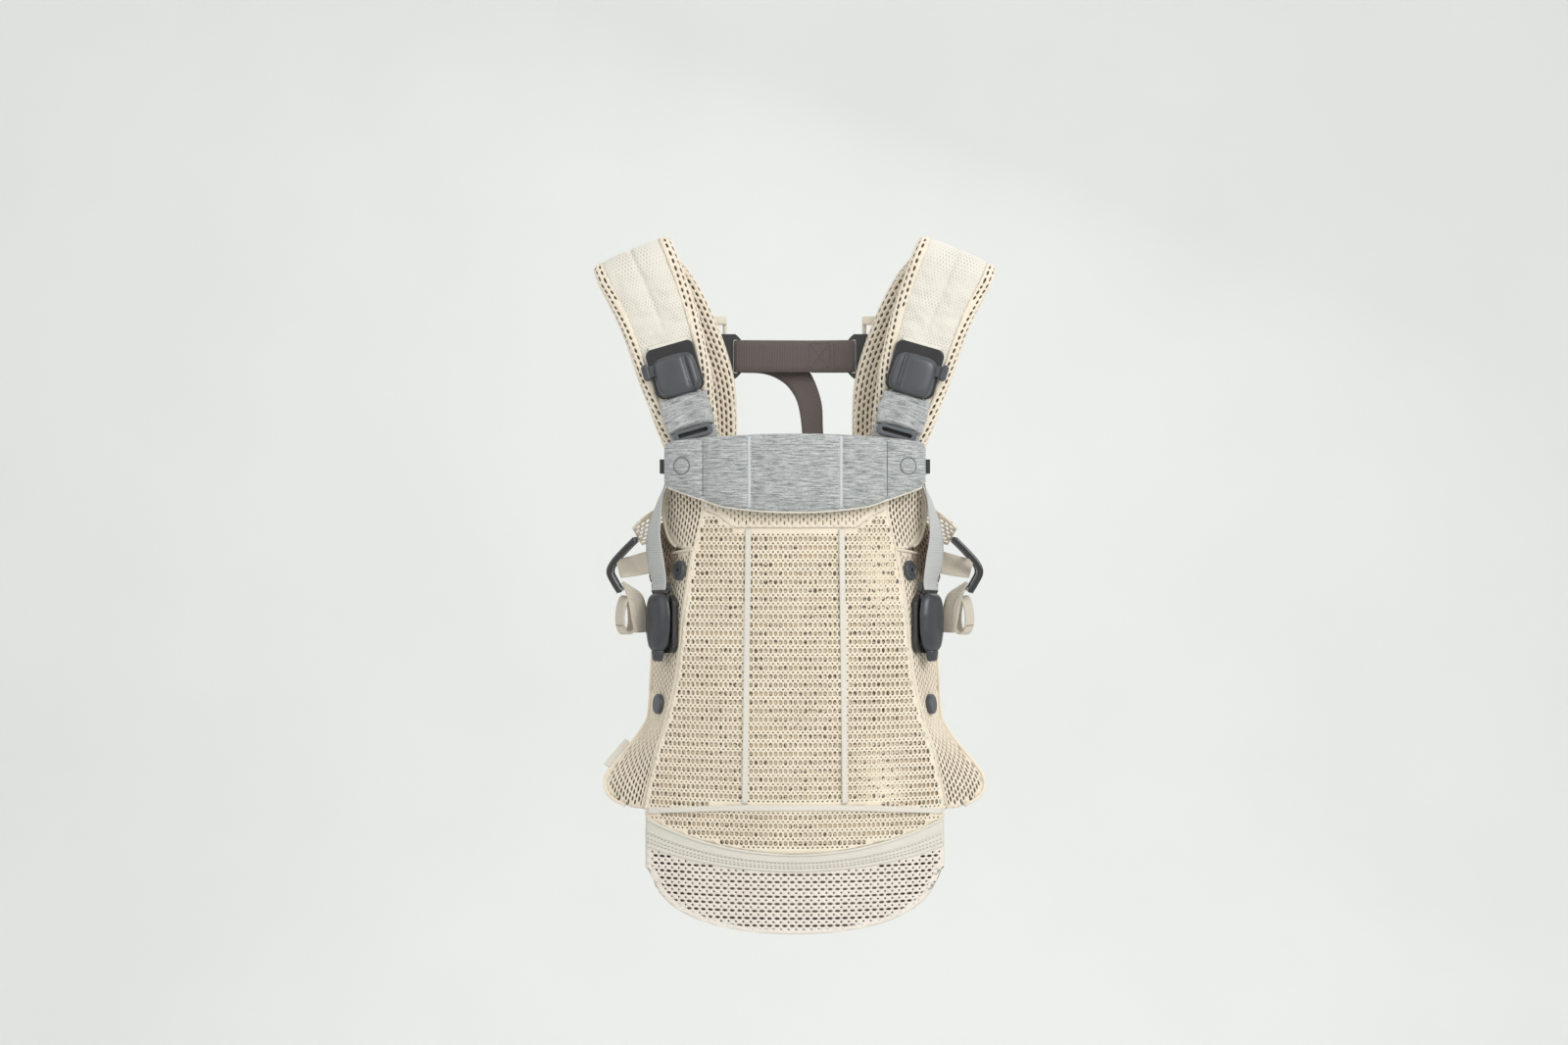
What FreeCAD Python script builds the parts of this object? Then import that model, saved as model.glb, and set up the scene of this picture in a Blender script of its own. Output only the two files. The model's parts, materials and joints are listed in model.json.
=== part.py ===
"""Soft baby carrier, hanging by its two shoulder straps as it does from a coat hanger.

Frame: millimetres, +Z up, -Y is the front of the carrier, +X the left-hand side seen from behind.
The origin is midway between the two strap crests, where a hanger's shoulders carry them.
The left-hand pieces (negative X) are modelled and the right-hand ones are their mirror images.
"""

import FreeCAD, Part
import math
import os

from FreeCAD import Placement, Rotation, Vector

CELLS = {
    # padded shoulder straps
    "strap_offset": 144.0,
    "strap_crest_drop": 12.0,
    "strap_width": 76.0,
    "hook_radius": 9.5,
    "strap_mesh_thick": 3.5,
    "strap_core_thick": 6.9,
    "strap_face_thick": 2.0,
    # front panel, seat and head support, which share one upright cylinder axis
    "panel_radius": 280.0,
    "panel_front": 52.0,
    "mesh_thick": 3.0,
    "lining_thick": 2.5,
    "tape_thick": 1.0,
    "layer_gap": 0.4,
    "flap_stand_off": 3.5,
    "flap_back_thick": 7.0,
    "flap_face_thick": 2.5,
    # press studs
    "snap_diameter": 18.5,
    "snap_thick": 3.4,
    "socket_bore": 5.2,
    "stud_cap_thick": 4.2,
    "flap_snap_diameter": 13.6,
    # front buckles on the straps
    "buckle_offset": 108.2,
    "buckle_height": -109.7,
    "buckle_lean": 16.0,
    "base_width": 46.0,
    "base_thick": 4.0,
    "cover_width": 41.0,
    "cover_height": 37.0,
    "cover_thick": 12.0,
    "tongue_width": 28.0,
    "tongue_thick": 3.0,
    "tab_width": 46.0,
    "tab_thick": 2.2,
    "glide_width": 37.0,
    "glide_thick": 3.6,
    # side buckles
    "side_buckle_width": 38.0,
    "side_buckle_height": 54.0,
    "side_back_thick": 5.5,
    "side_cover_thick": 8.3,
    "side_tongue_thick": 2.6,
    "webbing_width": 25.0,
    "webbing_thick": 1.5,
    # cross strap between the shoulder blades
    "cross_webbing_width": 30.0,
    "cross_height": -87.0,
    "cross_depth": 40.0,
    "rail_offset": 66.0,
    "rail_diameter": 4.0,
    "rail_top": -50.0,
    "rail_foot": -146.0,
    # waist belt
    "belt_core_thick": 9.0,
    "belt_back_depth": 60.0,
    "belt_buckle_width": 50.0,
    "belt_buckle_height": 44.0,
    "belt_webbing_width": 38.0,
}

doc = FreeCAD.newDocument("BabyCarrier")
sheet = doc.addObject("Spreadsheet::Sheet", "Dims")
for row, (alias, value) in enumerate(CELLS.items(), start=1):
    sheet.set(f"A{row}", str(value))
    sheet.setAlias(f"A{row}", alias)
doc.recompute()

CUT_DEPTH = 400.0
UP = Vector(0, 0, 1)
nodes = []


def cell(alias):
    """The value of one driving dimension."""
    return float(sheet.get(alias))


# ---------------------------------------------------------------- helpers


def outline_edges(outline):
    """Edges of a closed outline: a point is a straight run, and a pair (middle, end) is an arc."""
    edges = []
    here = Vector(*outline[0], 0)
    for step in list(outline[1:]) + [outline[0]]:
        if isinstance(step[0], (tuple, list)):
            middle, end = Vector(*step[0], 0), Vector(*step[1], 0)
            edges.append(Part.Arc(here, middle, end))
        else:
            end = Vector(*step, 0)
            if (end - here).Length < 1e-6:
                continue
            edges.append(Part.LineSegment(here, end))
        here = end
    return edges


def rounded(width, height, radius, x=0.0, z=0.0):
    """A rounded rectangle as an outline, centred on (x, z)."""
    a, b, k = width / 2, height / 2, radius * (1 - math.sqrt(0.5))
    left, right, low, high = x - a, x + a, z - b, z + b
    return [
        (left + radius, low),
        (right - radius, low),
        ((right - k, low + k), (right, low + radius)),
        (right, high - radius),
        ((right - k, high - k), (right - radius, high)),
        (left + radius, high),
        ((left + k, high - k), (left, high - radius)),
        (left, low + radius),
        ((left + k, low + k), (left + radius, low)),
    ]


def both_sides(half):
    """A closed outline symmetric about X = 0, from its right-hand points, bottom to top."""
    return list(half) + [(-x, z) for x, z in reversed(half)]


def free_sketch(name, outlines):
    """A sketch in the XZ plane (sketch Y is Z), facing the front, with one or more closed outlines."""
    sketch = doc.addObject("Sketcher::SketchObject", name)
    sketch.Placement = Placement(Vector(), Rotation(Vector(1, 0, 0), 90))
    for outline in outlines:
        sketch.addGeometry(outline_edges(outline), False)
    return sketch


def prism(name, *outlines):
    """The outlines swept right through the carrier along Y."""
    body = doc.addObject("Part::Extrusion", name)
    body.Base = free_sketch(name + "_outline", outlines)
    body.DirMode = "Custom"
    body.Dir = Vector(0, -1, 0)
    body.LengthFwd = CUT_DEPTH
    body.Symmetric = True
    body.Solid = True
    return body


def boolean(kind, label, first, second):
    """A Part boolean of two objects."""
    made = doc.addObject(kind, label)
    made.Base, made.Tool = first, second
    return made


def shell(label, outline, inner, outer):
    """A curved layer of cloth: a tube about the panel's axis between two radii, trimmed to an outline."""
    tubes = []
    for name, radius in (("outer", outer), ("inner", inner)):
        tube = doc.addObject("Part::Cylinder", f"{label}_{name}")
        tube.setExpression("Radius", radius)
        tube.Height = 700
        tube.setExpression(".Placement.Base.y", "Dims.panel_radius - Dims.panel_front")
        tube.setExpression(".Placement.Base.z", "-660")
        tubes.append(tube)
    layer = boolean("Part::Cut", label + "_tube", *tubes)
    return boolean("Part::Common", label, layer, prism(label + "_trim", outline))


def plate(label, thickness, *outlines, plane="XZ_Plane"):
    """A PartDesign body: outlines padded towards the front by a thickness. Inner outlines are holes."""
    body = doc.addObject("PartDesign::Body", label)
    origin = {feature.Role: feature for feature in body.Origin.OriginFeatures}
    sketch = body.newObject("Sketcher::SketchObject", label + "_sketch")
    sketch.AttachmentSupport = [(origin[plane], "")]
    sketch.MapMode = "FlatFace"
    for outline in outlines:
        sketch.addGeometry(outline_edges(outline), False)
    pad = body.newObject("PartDesign::Pad", label + "_pad")
    pad.Profile = sketch
    pad.setExpression("Length", thickness)
    doc.recompute()
    return body


def hollow(body, depth, outline):
    """Pockets an outline into the back (Y = 0) of a plate, so that the plate becomes a cover."""
    origin = {feature.Role: feature for feature in body.Origin.OriginFeatures}
    sketch = body.newObject("Sketcher::SketchObject", body.Name + "_hollow_sketch")
    sketch.AttachmentSupport = [(origin["XZ_Plane"], "")]
    sketch.MapMode = "FlatFace"
    sketch.addGeometry(outline_edges(outline), False)
    before = body.Shape.Volume
    pocket = body.newObject("PartDesign::Pocket", body.Name + "_hollow")
    pocket.Profile = sketch
    pocket.Length = depth
    pocket.Reversed = True
    doc.recompute()
    if body.Shape.Volume > before - 1:
        raise RuntimeError(f"{body.Name}: the pocket cut nothing")
    return body


def round_front(body, radius):
    """Fillets the front edges of a plate."""
    tip = body.Tip
    front = tip.Shape.BoundBox.YMin
    edges = [
        f"Edge{i}"
        for i, edge in enumerate(tip.Shape.Edges, start=1)
        if all(abs(v.Y - front) < 1e-6 for v in edge.Vertexes)
    ]
    fillet = body.newObject("PartDesign::Fillet", body.Name + "_fillet")
    fillet.Base = (tip, edges)
    fillet.Radius = radius
    body.Tip = fillet
    doc.recompute()
    return body


def block(label, low, high):
    """A Part::Box between two corners."""
    box = doc.addObject("Part::Box", label)
    box.Length, box.Width, box.Height = (high[i] - low[i] for i in range(3))
    box.Placement.Base = Vector(*low)
    return box


def loft(label, sections):
    """A soft solid through quadrilateral sections, each four corners in order, with straight rulings."""
    wires = [Part.makePolygon([Vector(*p) for p in s] + [Vector(*s[0])]) for s in sections]
    made = doc.addObject("Part::Feature", label)
    made.Shape = Part.makeLoft(wires, True, True)
    return made


def strip(label, stations, thick):
    """A band of cloth or webbing. A station is the band's centre and half its width as a vector."""
    centres = [Vector(*centre) for centre, _ in stations]
    sections = []
    for i, (_, half_width) in enumerate(stations):
        c, w = centres[i], Vector(*half_width)
        along = centres[min(i + 1, len(centres) - 1)] - centres[max(i - 1, 0)]
        n = along.cross(w)
        n.normalize()
        n = n * (thick / 2)
        sections.append([c - w - n, c + w - n, c + w + n, c - w + n])
    return loft(label, sections)


def mirrored(source, label):
    """The right-hand twin of a left-hand piece."""
    made = doc.addObject("Part::Mirroring", label)
    made.Source = source
    made.Normal = Vector(1, 0, 0)
    return made


def group(label, *pieces):
    """Separate solids that share one node."""
    made = doc.addObject("Part::Compound", label)
    made.Links = list(pieces)
    return made


def node(obj, label):
    obj.Label = label
    nodes.append(obj)
    return obj


def pair(piece, name):
    """Registers a left-hand piece and its mirror image as NAME_left and NAME_right."""
    node(piece, name + "_left")
    node(mirrored(piece, name + "_right_mirror"), name + "_right")


def twins(piece, name):
    """Registers a left-hand piece and its mirror image as the two solids of one node."""
    node(group(name + "_pair", piece, mirrored(piece, name + "_mirror")), name)


def panel_y(x, radius):
    """Y of a layer of the front panel at a distance x from the middle."""
    return cell("panel_radius") - cell("panel_front") - math.sqrt(radius**2 - x**2)


# ------------------------------------------------------- shoulder straps

CREST = Vector(-cell("strap_offset"), 0, -cell("strap_crest_drop"))
CREST_LEAN = 23.0
FRONT_LEG = [  # centre line (x, y, z), half width as a share of the strap's, lean in degrees
    ((-93.0, 0, -180.0), 0.57, 12),
    ((-97.0, 0, -163.0), 0.68, 14),
    ((-103.5, 0, -135.0), 0.78, 15),
    ((-112.0, 0, -102.0), 0.87, 15.5),
    ((-125.0, 0, -58.0), 0.93, 15.5),
    ((-135.5, 0, -31.0), 0.97, 19),
]
BACK_LEG = [
    ((-128.0, 2.0, -33.0), 0.99, 30),
    ((-113.5, 4.0, -58.0), 0.96, 24),
    ((-100.5, 6.5, -88.0), 0.93, 18),
    ((-92.0, 8.5, -115.0), 0.91, 10),
    ((-88.5, 10.5, -140.0), 0.88, 3),
    ((-88.0, 12.0, -168.0), 0.86, 0),
    ((-88.0, 13.5, -197.0), 0.82, -2),
]
FOLD_STEPS = 6


def lean_vector(degrees):
    """Direction across the left strap where it leans by an angle."""
    return Vector(math.cos(math.radians(degrees)), 0, math.sin(math.radians(degrees)))


def strap_stations():
    """Stations of the left strap: centre, direction across, half width, and normal away from the fold."""
    half = cell("strap_width") / 2
    forward = Vector(0, -1, 0)
    stations = [(Vector(*c), lean_vector(lean), half * share, forward) for c, share, lean in FRONT_LEG]
    across = lean_vector(CREST_LEAN)
    up = Vector(-across.z, 0, across.x)
    for i in range(FOLD_STEPS + 1):
        angle = math.pi * i / FOLD_STEPS
        stations.append((CREST, across, half, forward * math.cos(angle) + up * math.sin(angle)))
    stations += [(Vector(*c), lean_vector(lean), half * share, -forward) for c, share, lean in BACK_LEG]
    return stations


def strap_layer(label, r_inner, r_outer, inset):
    """One layer of the left strap, between two distances from the fold's centre line."""
    sections = []
    for centre, across, half, normal in strap_stations():
        w, low, high = across * (half - inset), centre + normal * r_inner, centre + normal * r_outer
        sections.append([low - w, low + w, high + w, high - w])
    return loft(label, sections)


def straps():
    mesh = cell("hook_radius") + cell("strap_mesh_thick")
    core = mesh + 0.3 + cell("strap_core_thick")
    face = core + 0.3 + cell("strap_face_thick")
    pair(strap_layer("StrapMesh", cell("hook_radius"), mesh, 0), "strap_mesh")
    twins(strap_layer("StrapCore", mesh + 0.3, core, 3), "strap_cores")
    pair(strap_layer("StrapFace", core + 0.3, face, 8), "strap_face")
    return face


FACE_DEPTH = straps()


def strap_tails():
    """Mesh tabs from the back legs' lower ends out to the side adjusters."""
    stations = [
        ((-88, 35, -199), (29, 0, 0)),
        ((-97, 33, -222), (21, -1, -10)),
        ((-112, 27, -238), (9, 2, -13)),
        ((-131, 15, -249), (4, 8, -9)),
        ((-146, 3, -257), (1, 12, -2)),
    ]
    twins(strip("StrapTail", stations, 3.0), "strap_tails")


strap_tails()


def rails():
    """Piping rails behind the back legs, which the cross strap's runners slide on."""
    x, depth = cell("rail_offset"), cell("cross_depth")
    top, foot = cell("rail_top"), cell("rail_foot")
    rod = doc.addObject("Part::Cylinder", "Rail")
    rod.setExpression("Radius", "Dims.rail_diameter / 2")
    rod.setExpression("Height", "Dims.rail_top - Dims.rail_foot")
    rod.Placement.Base = Vector(-x, depth, foot)
    high = block("RailFootHigh", (-x - 22, 27.8, top - 7), (-x + 1.5, depth + 2, top))
    low = block("RailFootLow", (-x - 18, 35.2, foot), (-x + 1.5, depth + 2, foot + 7))
    feet = boolean("Part::Fuse", "RailFeet", high, low)
    twins(boolean("Part::Fuse", "RailBody", rod, feet), "strap_rails")


rails()


# --------------------------------------------------- front panel and seat

SEAM = [  # half width of the front panel down its side seams
    (92.5, -271.0),
    (101.5, -330.0),
    (107.5, -384.0),
    (117.0, -423.0),
    (129.5, -464.0),
    (139.0, -506.0),
]


def panel_layers():
    """The mesh of the front panel, its stretch band and seat gusset, and the lining behind them."""
    face_in, face_out = "Dims.panel_radius - Dims.mesh_thick", "Dims.panel_radius"
    upper = SEAM[::-1] + [(84.0, -232.0), (70.0, -238.0), (56.0, -249.0)]
    outline = [(-139.0, -509.0), ((0, -501.5), (139.0, -509.0))] + both_sides(upper)
    node(shell("FrontPanel", outline, face_in, face_out), "front_panel")

    gusset = [
        (138.0, -510.0),
        ((0, -502.5), (-138.0, -510.0)),
        (-137.0, -515.0),
        ((0, -544.0), (137.0, -515.0)),
    ]
    node(shell("SeatGusset", gusset, face_in, face_out), "seat_gusset")

    band = [(55.5, -248.5), (69.5, -237.5), (83.0, -231.5), (88.0, -200.0), (88.0, -184.0), (70.0, -170.0)]
    node(shell("TopBand", both_sides(band), face_in, face_out), "top_band")

    lining_out = face_in + " - Dims.layer_gap"
    back = [(134.0, -514.0)] + [(x - 3, z) for x, z in SEAM[::-1]]
    back += [(81.0, -232.0), (84.0, -186.0), (68.0, -173.0)]
    lining_in = lining_out + " - Dims.lining_thick"
    node(shell("PanelLining", both_sides(back), lining_in, lining_out), "panel_lining")


panel_layers()


def woven_tapes():
    """Two upright tapes and one across the seat, sewn on the face of the panel, and the tab on a wing."""
    inner, outer = "Dims.panel_radius + 0.2", "Dims.panel_radius + 0.2 + Dims.tape_thick"
    left = [(-40.0, -250.0), (-45.0, -250.0), (-48.0, -498.0), (-43.0, -498.0)]
    upright = shell("TapeLeft", left, inner, outer)
    across = [
        (136.0, -512.0),
        ((0, -505.5), (-136.0, -512.0)),
        (-136.0, -507.5),
        ((0, -500.0), (136.0, -507.5)),
    ]
    seat = shell("TapeSeat", across, inner, outer)
    tab_ends = [((-155.4, 21.5, -449.5), (-3.6, 0, 3)), ((-175.4, 19.5, -473.0), (-3.6, 0, 3))]
    tab = strip("WingTab", tab_ends, 1.4)
    node(group("WovenTapes", upright, mirrored(upright, "TapeRight"), seat, tab), "woven_tapes")


woven_tapes()

WING = [  # height, half width at the seam, outer edge (x, y)
    (-271.0, 93.5, (122.0, 8.0)),
    (-330.0, 102.5, (131.0, 10.0)),
    (-384.0, 108.5, (133.0, 14.0)),
    (-423.0, 118.0, (136.0, 18.0)),
    (-452.0, 127.0, (151.0, 20.0)),
    (-482.0, 134.5, (176.0, 17.0)),
    (-496.0, 138.0, (174.0, 12.0)),
    (-507.0, 140.5, (158.0, 2.0)),
]


SEAM_ALLOWANCE = 3.4


def side_edges(z, seam, outer):
    """The two ends of a left-hand side piece's outer face at a height: beside its seam, and its free edge."""
    a = Vector(-seam, panel_y(seam, cell("panel_radius")), z)
    b = Vector(-outer[0], outer[1], z)
    along = b - a
    along.normalize()
    return a + along * SEAM_ALLOWANCE, b


def side_section(z, seam, outer):
    """A level section of a left-hand side piece, thickened inwards from its outer face."""
    a, b = side_edges(z, seam, outer)
    inwards = (b - a).cross(UP)
    inwards.normalize()
    inwards = inwards * cell("mesh_thick")
    return [a, b, b + inwards, a + inwards]


def on_wing(z, share, lift=0.5, tilt=0.0):
    """A frame on the left wing's outer face, a share of the way from its seam to its edge.

    Its front faces away from the wing, and its top leans outwards by tilt.
    """
    above, below = next(rows for rows in zip(WING, WING[1:]) if rows[0][0] >= z >= rows[1][0])
    (a0, b0), (a1, b1) = side_edges(*above), side_edges(*below)
    t = (z - above[0]) / (below[0] - above[0])
    a, b = a0 + (a1 - a0) * t, b0 + (b1 - b0) * t
    down = (a1 + (b1 - a1) * share) - (a0 + (b0 - a0) * share)
    inwards = down.cross(b - a)
    inwards.normalize()
    upright = Rotation(Vector(), inwards, -down, "YZX")
    base = a + (b - a) * share - inwards * lift
    return Placement(base, upright * Rotation(Vector(0, 1, 0), -tilt))


def side_pieces():
    """Coarse mesh at the sides: the leg wings, and above them the short upper side panels."""
    pair(loft("Wing", [side_section(*row) for row in WING]), "wing")
    upper = [
        (-203.0, 92.0, (113.0, -14.0)),
        (-232.0, 90.0, (121.0, -6.0)),
        (-262.0, 94.0, (115.0, -8.0)),
    ]
    twins(loft("UpperSide", [side_section(*row) for row in upper]), "upper_sides")


side_pieces()


def turned_disc(name, section):
    """A PartDesign revolution about the Y axis, from its section in the XY plane."""
    body = doc.addObject("PartDesign::Body", name)
    origin = {feature.Role: feature for feature in body.Origin.OriginFeatures}
    sketch = body.newObject("Sketcher::SketchObject", name + "_section")
    sketch.AttachmentSupport = [(origin["XY_Plane"], "")]
    sketch.MapMode = "FlatFace"
    sketch.addGeometry(outline_edges(section), False)
    turned = body.newObject("PartDesign::Revolution", name + "_turned")
    turned.Profile = sketch
    turned.ReferenceAxis = (origin["Y_Axis"], [""])
    turned.Angle = 360
    doc.recompute()
    return body


SOCKET = on_wing(-288.0, 0.25)
STUD = on_wing(-412.0, 0.42)


def press_studs():
    """Press-stud sockets with an open bore, rounded caps lower down, and the posts for the flap's snaps."""
    r, b, t = cell("snap_diameter") / 2, cell("socket_bore") / 2, cell("snap_thick")
    lip = [(b, 0), (r, 0), (r, -t + 1.2), ((r - 0.35, -t + 0.35), (r - 1.2, -t)), (r - 2.6, -t)]
    dish = [(r - 3.4, -t + 0.8), (b + 1.6, -t + 0.8), (b + 1.0, -t), (b, -t)]
    socket = turned_disc("Socket", lip + dish)
    socket.Placement = SOCKET
    twins(socket, "snap_sockets")

    t = cell("stud_cap_thick")
    rim = ((r - 0.45, -t + 0.45), (r - 1.5, -t))
    cap = turned_disc("StudCap", [(0, 0), (r, 0), (r, -t + 1.5), rim, (0, -t)])
    cap.Placement = STUD
    post = doc.addObject("Part::Cylinder", "FlapPost")
    post.Radius = 5.0
    post.Height = 7.2
    post.Placement = Placement(Vector(-100.0, -26.9, -190.0), Rotation(Vector(1, 0, 0), 90))
    twins(group("StudsLeft", cap, post), "press_studs")


press_studs()


# ------------------------------------------------------------ head support


def head_support():
    """The padded flap folded down over the top of the panel: a foam core and its jersey face."""
    back = "Dims.panel_radius + Dims.flap_stand_off"
    middle = back + " + Dims.flap_back_thick"
    face_in = middle + " + 0.3"
    face_out = face_in + " + Dims.flap_face_thick"

    def outline(inset):
        side, top, rise = 121.0 - 2.6 * inset, -171.0 - inset, -163.5 - inset
        return [
            (-side, -211.0 + inset),
            ((-66.0, -229.0 + inset), (0, -234.5 + inset)),
            ((66.0, -229.0 + inset), (side, -211.0 + inset)),
            (side, top - 10),
            ((side - 3, top - 3), (side - 10, top)),
            ((0, rise), (-side + 10, top)),
            ((-side + 3, top - 3), (-side, top - 10)),
        ]

    node(shell("HeadFace", outline(0), face_in, face_out), "head_support_face")
    node(shell("HeadCore", outline(2.5), back, middle), "head_support_core")
    r, t = cell("flap_snap_diameter") / 2, 2.4
    snap = turned_disc("FlapSnap", [(0, 0), (r, 0), (r, -t + 1), ((r - 0.3, -t + 0.3), (r - 1, -t)), (0, -t)])
    front = cell("panel_radius") + cell("flap_stand_off") + cell("flap_back_thick") + cell("flap_face_thick")
    x = 101.0
    lean = math.degrees(math.asin(x / front))
    snap.Placement = Placement(Vector(-x, panel_y(x, front + 0.7), -192.5), Rotation(UP, -lean))
    twins(snap, "head_support_snaps")


head_support()


# ---------------------------------------------------------- front buckles

FRONT_BUCKLE = Placement(
    Vector(-cell("buckle_offset"), -FACE_DEPTH - 0.4, cell("buckle_height")),
    Rotation(Vector(0, 1, 0), -cell("buckle_lean")),
)


def at(frame, y):
    """A buckle's frame, moved along its own Y."""
    return frame * Placement(Vector(0, y, 0), Rotation())


def front_buckles():
    """The receiver on each strap, with its cover and push button, and the tongue, sleeve and tri-glide."""
    base = round_front(plate("FrontBase", "Dims.base_thick", rounded(cell("base_width"), 47, 7, z=6.5)), 1.0)
    base.Placement = FRONT_BUCKLE
    twins(base, "front_buckle_bases")

    anchor = plate("AnchorWebbing", "Dims.base_thick", rounded(38, 4.0, 1.5, z=32.1))
    anchor.Placement = FRONT_BUCKLE
    twins(anchor, "anchor_webbing")

    cover_y = -cell("base_thick") - 0.3
    outline = rounded(cell("cover_width"), cell("cover_height"), 6, z=1.5)
    cover = plate("FrontCover", "Dims.cover_thick", outline)
    round_front(cover, 4.5)
    hollow(cover, 5.5, [(-15, -20), (15, -20), (15, 14), (-15, 14)])
    window = block("ButtonWindow", (-24, -6.2, 3.5), (-14, -0.4, 16.5))
    opened = boolean("Part::Cut", "FrontCoverOpen", cover, window)
    opened.Placement = at(FRONT_BUCKLE, cover_y)
    twins(opened, "front_buckle_covers")

    nub = round_front(plate("FrontButton", "8", rounded(6.4, 15.0, 2.9, x=-26.4, z=10.0)), 2.0)
    stem = block("FrontButtonStem", (-24.5, -5.6, 5.0), (-17.2, -1.0, 15.0))
    button = boolean("Part::Fuse", "FrontButtonWhole", nub, stem)
    button.Placement = at(FRONT_BUCKLE, cover_y)
    pair(button, "front_buckle_button")

    half = cell("tongue_width") / 2
    outer = [(-half, -46), (half, -46), (half, 8), (half - 5, 12.5), (-half + 5, 12.5), (-half, 8)]
    holes = [rounded(14, 9, 1.5, z=3), rounded(22, 3.2, 1.5, z=-41)]
    tongue = plate("FrontTongue", "Dims.tongue_thick", outer, *holes)
    tongue.Placement = at(FRONT_BUCKLE, -5.2)
    pair(tongue, "front_buckle_tongue")

    width = cell("tab_width")
    front = plate("TabFront", "Dims.tab_thick", rounded(width, 28.5, 4, z=-34.0))
    front.Placement.Base = Vector(0, -8.6, 0)
    back = plate("TabBack", "1.6", rounded(width, 15, 4, z=-27.0))
    back.Placement.Base = Vector(0, -3.3, 0)
    sleeve = doc.addObject("Part::MultiFuse", "TabSleeve")
    sleeve.Shapes = [
        front,
        back,
        block("TabSeamOut", (-width / 2, -8.8, -33), (-width / 2 + 2, -4.7, -21)),
        block("TabSeamIn", (width / 2 - 2, -8.8, -33), (width / 2, -4.7, -21)),
    ]
    sleeve.Placement = FRONT_BUCKLE
    pair(sleeve, "buckle_tab")

    ring = plate("TriGlide", "Dims.glide_thick", rounded(cell("glide_width"), 10.5, 4.5, z=-54.2),
                 rounded(28, 3.4, 1.6, z=-54.2))
    round_front(ring, 1.0)
    ring.Placement = at(FRONT_BUCKLE, -7.0)
    pair(ring, "tri_glide")

    corner = [
        ((-97.5, -25.4, -163), (17, 0, 4)),
        ((-92.0, -25.4, -180), (17, 0, 4)),
        ((-92.0, -25.4, -195), (15, 0, 2)),
    ]
    twins(strip("CornerTab", corner, 1.8), "corner_tabs")


front_buckles()


# ----------------------------------------------------------- side buckles

SIDE_BUCKLE = on_wing(-338.0, 0.43, lift=0.8, tilt=8.0)


def side_buckles():
    """The buckle on each wing, its button and tongue, and the webbing up to the height adjuster."""
    width, height = cell("side_buckle_width"), cell("side_buckle_height")
    back = plate("SideBack", "Dims.side_back_thick", rounded(width - 2, height - 1, 9))
    back.Placement = SIDE_BUCKLE
    twins(back, "side_buckle_backs")

    cover = round_front(plate("SideCover", "Dims.side_cover_thick", rounded(width, height, 10, z=1.5)), 5.0)
    cover.Placement = at(SIDE_BUCKLE, -9.4)
    twins(cover, "side_buckle_covers")

    nub = round_front(plate("SideButton", "8.5", rounded(14, 5.6, 2.7, z=-31.4)), 1.8)
    nub.Placement = at(SIDE_BUCKLE, -7.0)
    pair(nub, "side_buckle_button")

    half, eye = 13.0, 15.5
    side = [(half, 28), (eye, 30.5), (eye, 38), (-eye, 38), (-eye, 30.5), (-half, 28)]
    outer = [(-half, -18), (-half + 4, -22), (half - 4, -22), (half, -18)] + side
    slot = rounded(26.4, 2.6, 1.2, z=34.5)
    tongue = plate("SideTongue", "Dims.side_tongue_thick", outer, rounded(12, 10, 2, z=-8), slot)
    tongue.Placement = at(SIDE_BUCKLE, -6.2)
    pair(tongue, "side_buckle_tongue")

    eye_centre = SIDE_BUCKLE.multVec(Vector(0, -7.5, 40.5))
    half = cell("webbing_width") / 2
    stations = [
        (tuple(eye_centre), (half * 0.55, -half * 0.83, -half * 0.05)),
        ((-135.0, -21.0, -278.0), (half * 0.88, -half * 0.47, 0)),
        ((-130.5, -19.0, -252.0), (half * 0.66, -half * 0.75, 0)),
        ((-120.5, -13.2, -228.0), (half * 0.06, -half * 0.99, 0)),
        ((-118.8, -12.2, -206.0), (0, -half, 0)),
    ]
    pair(strip("SideWebbing", stations, cell("webbing_thick")), "side_webbing")

    frame = block("HeightFrame", (-124.0, -27.2, -199.0), (-114.5, 5.2, -186.0))
    slot = block("HeightSlot", (-121.4, -25.6, -202.0), (-117.6, 3.2, -182.0))
    twins(boolean("Part::Cut", "HeightAdjuster", frame, slot), "height_adjusters")


side_buckles()


# ---------------------------------------------------------- side adjusters


def bar(name, outlines, depth):
    """Outlines in the XZ plane swept both ways along Y."""
    made = doc.addObject("Part::Extrusion", name)
    made.Base = free_sketch(name + "_outline", outlines)
    made.DirMode = "Custom"
    made.Dir = Vector(0, -1, 0)
    made.LengthFwd = depth
    made.Symmetric = True
    made.Solid = True
    return made


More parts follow.
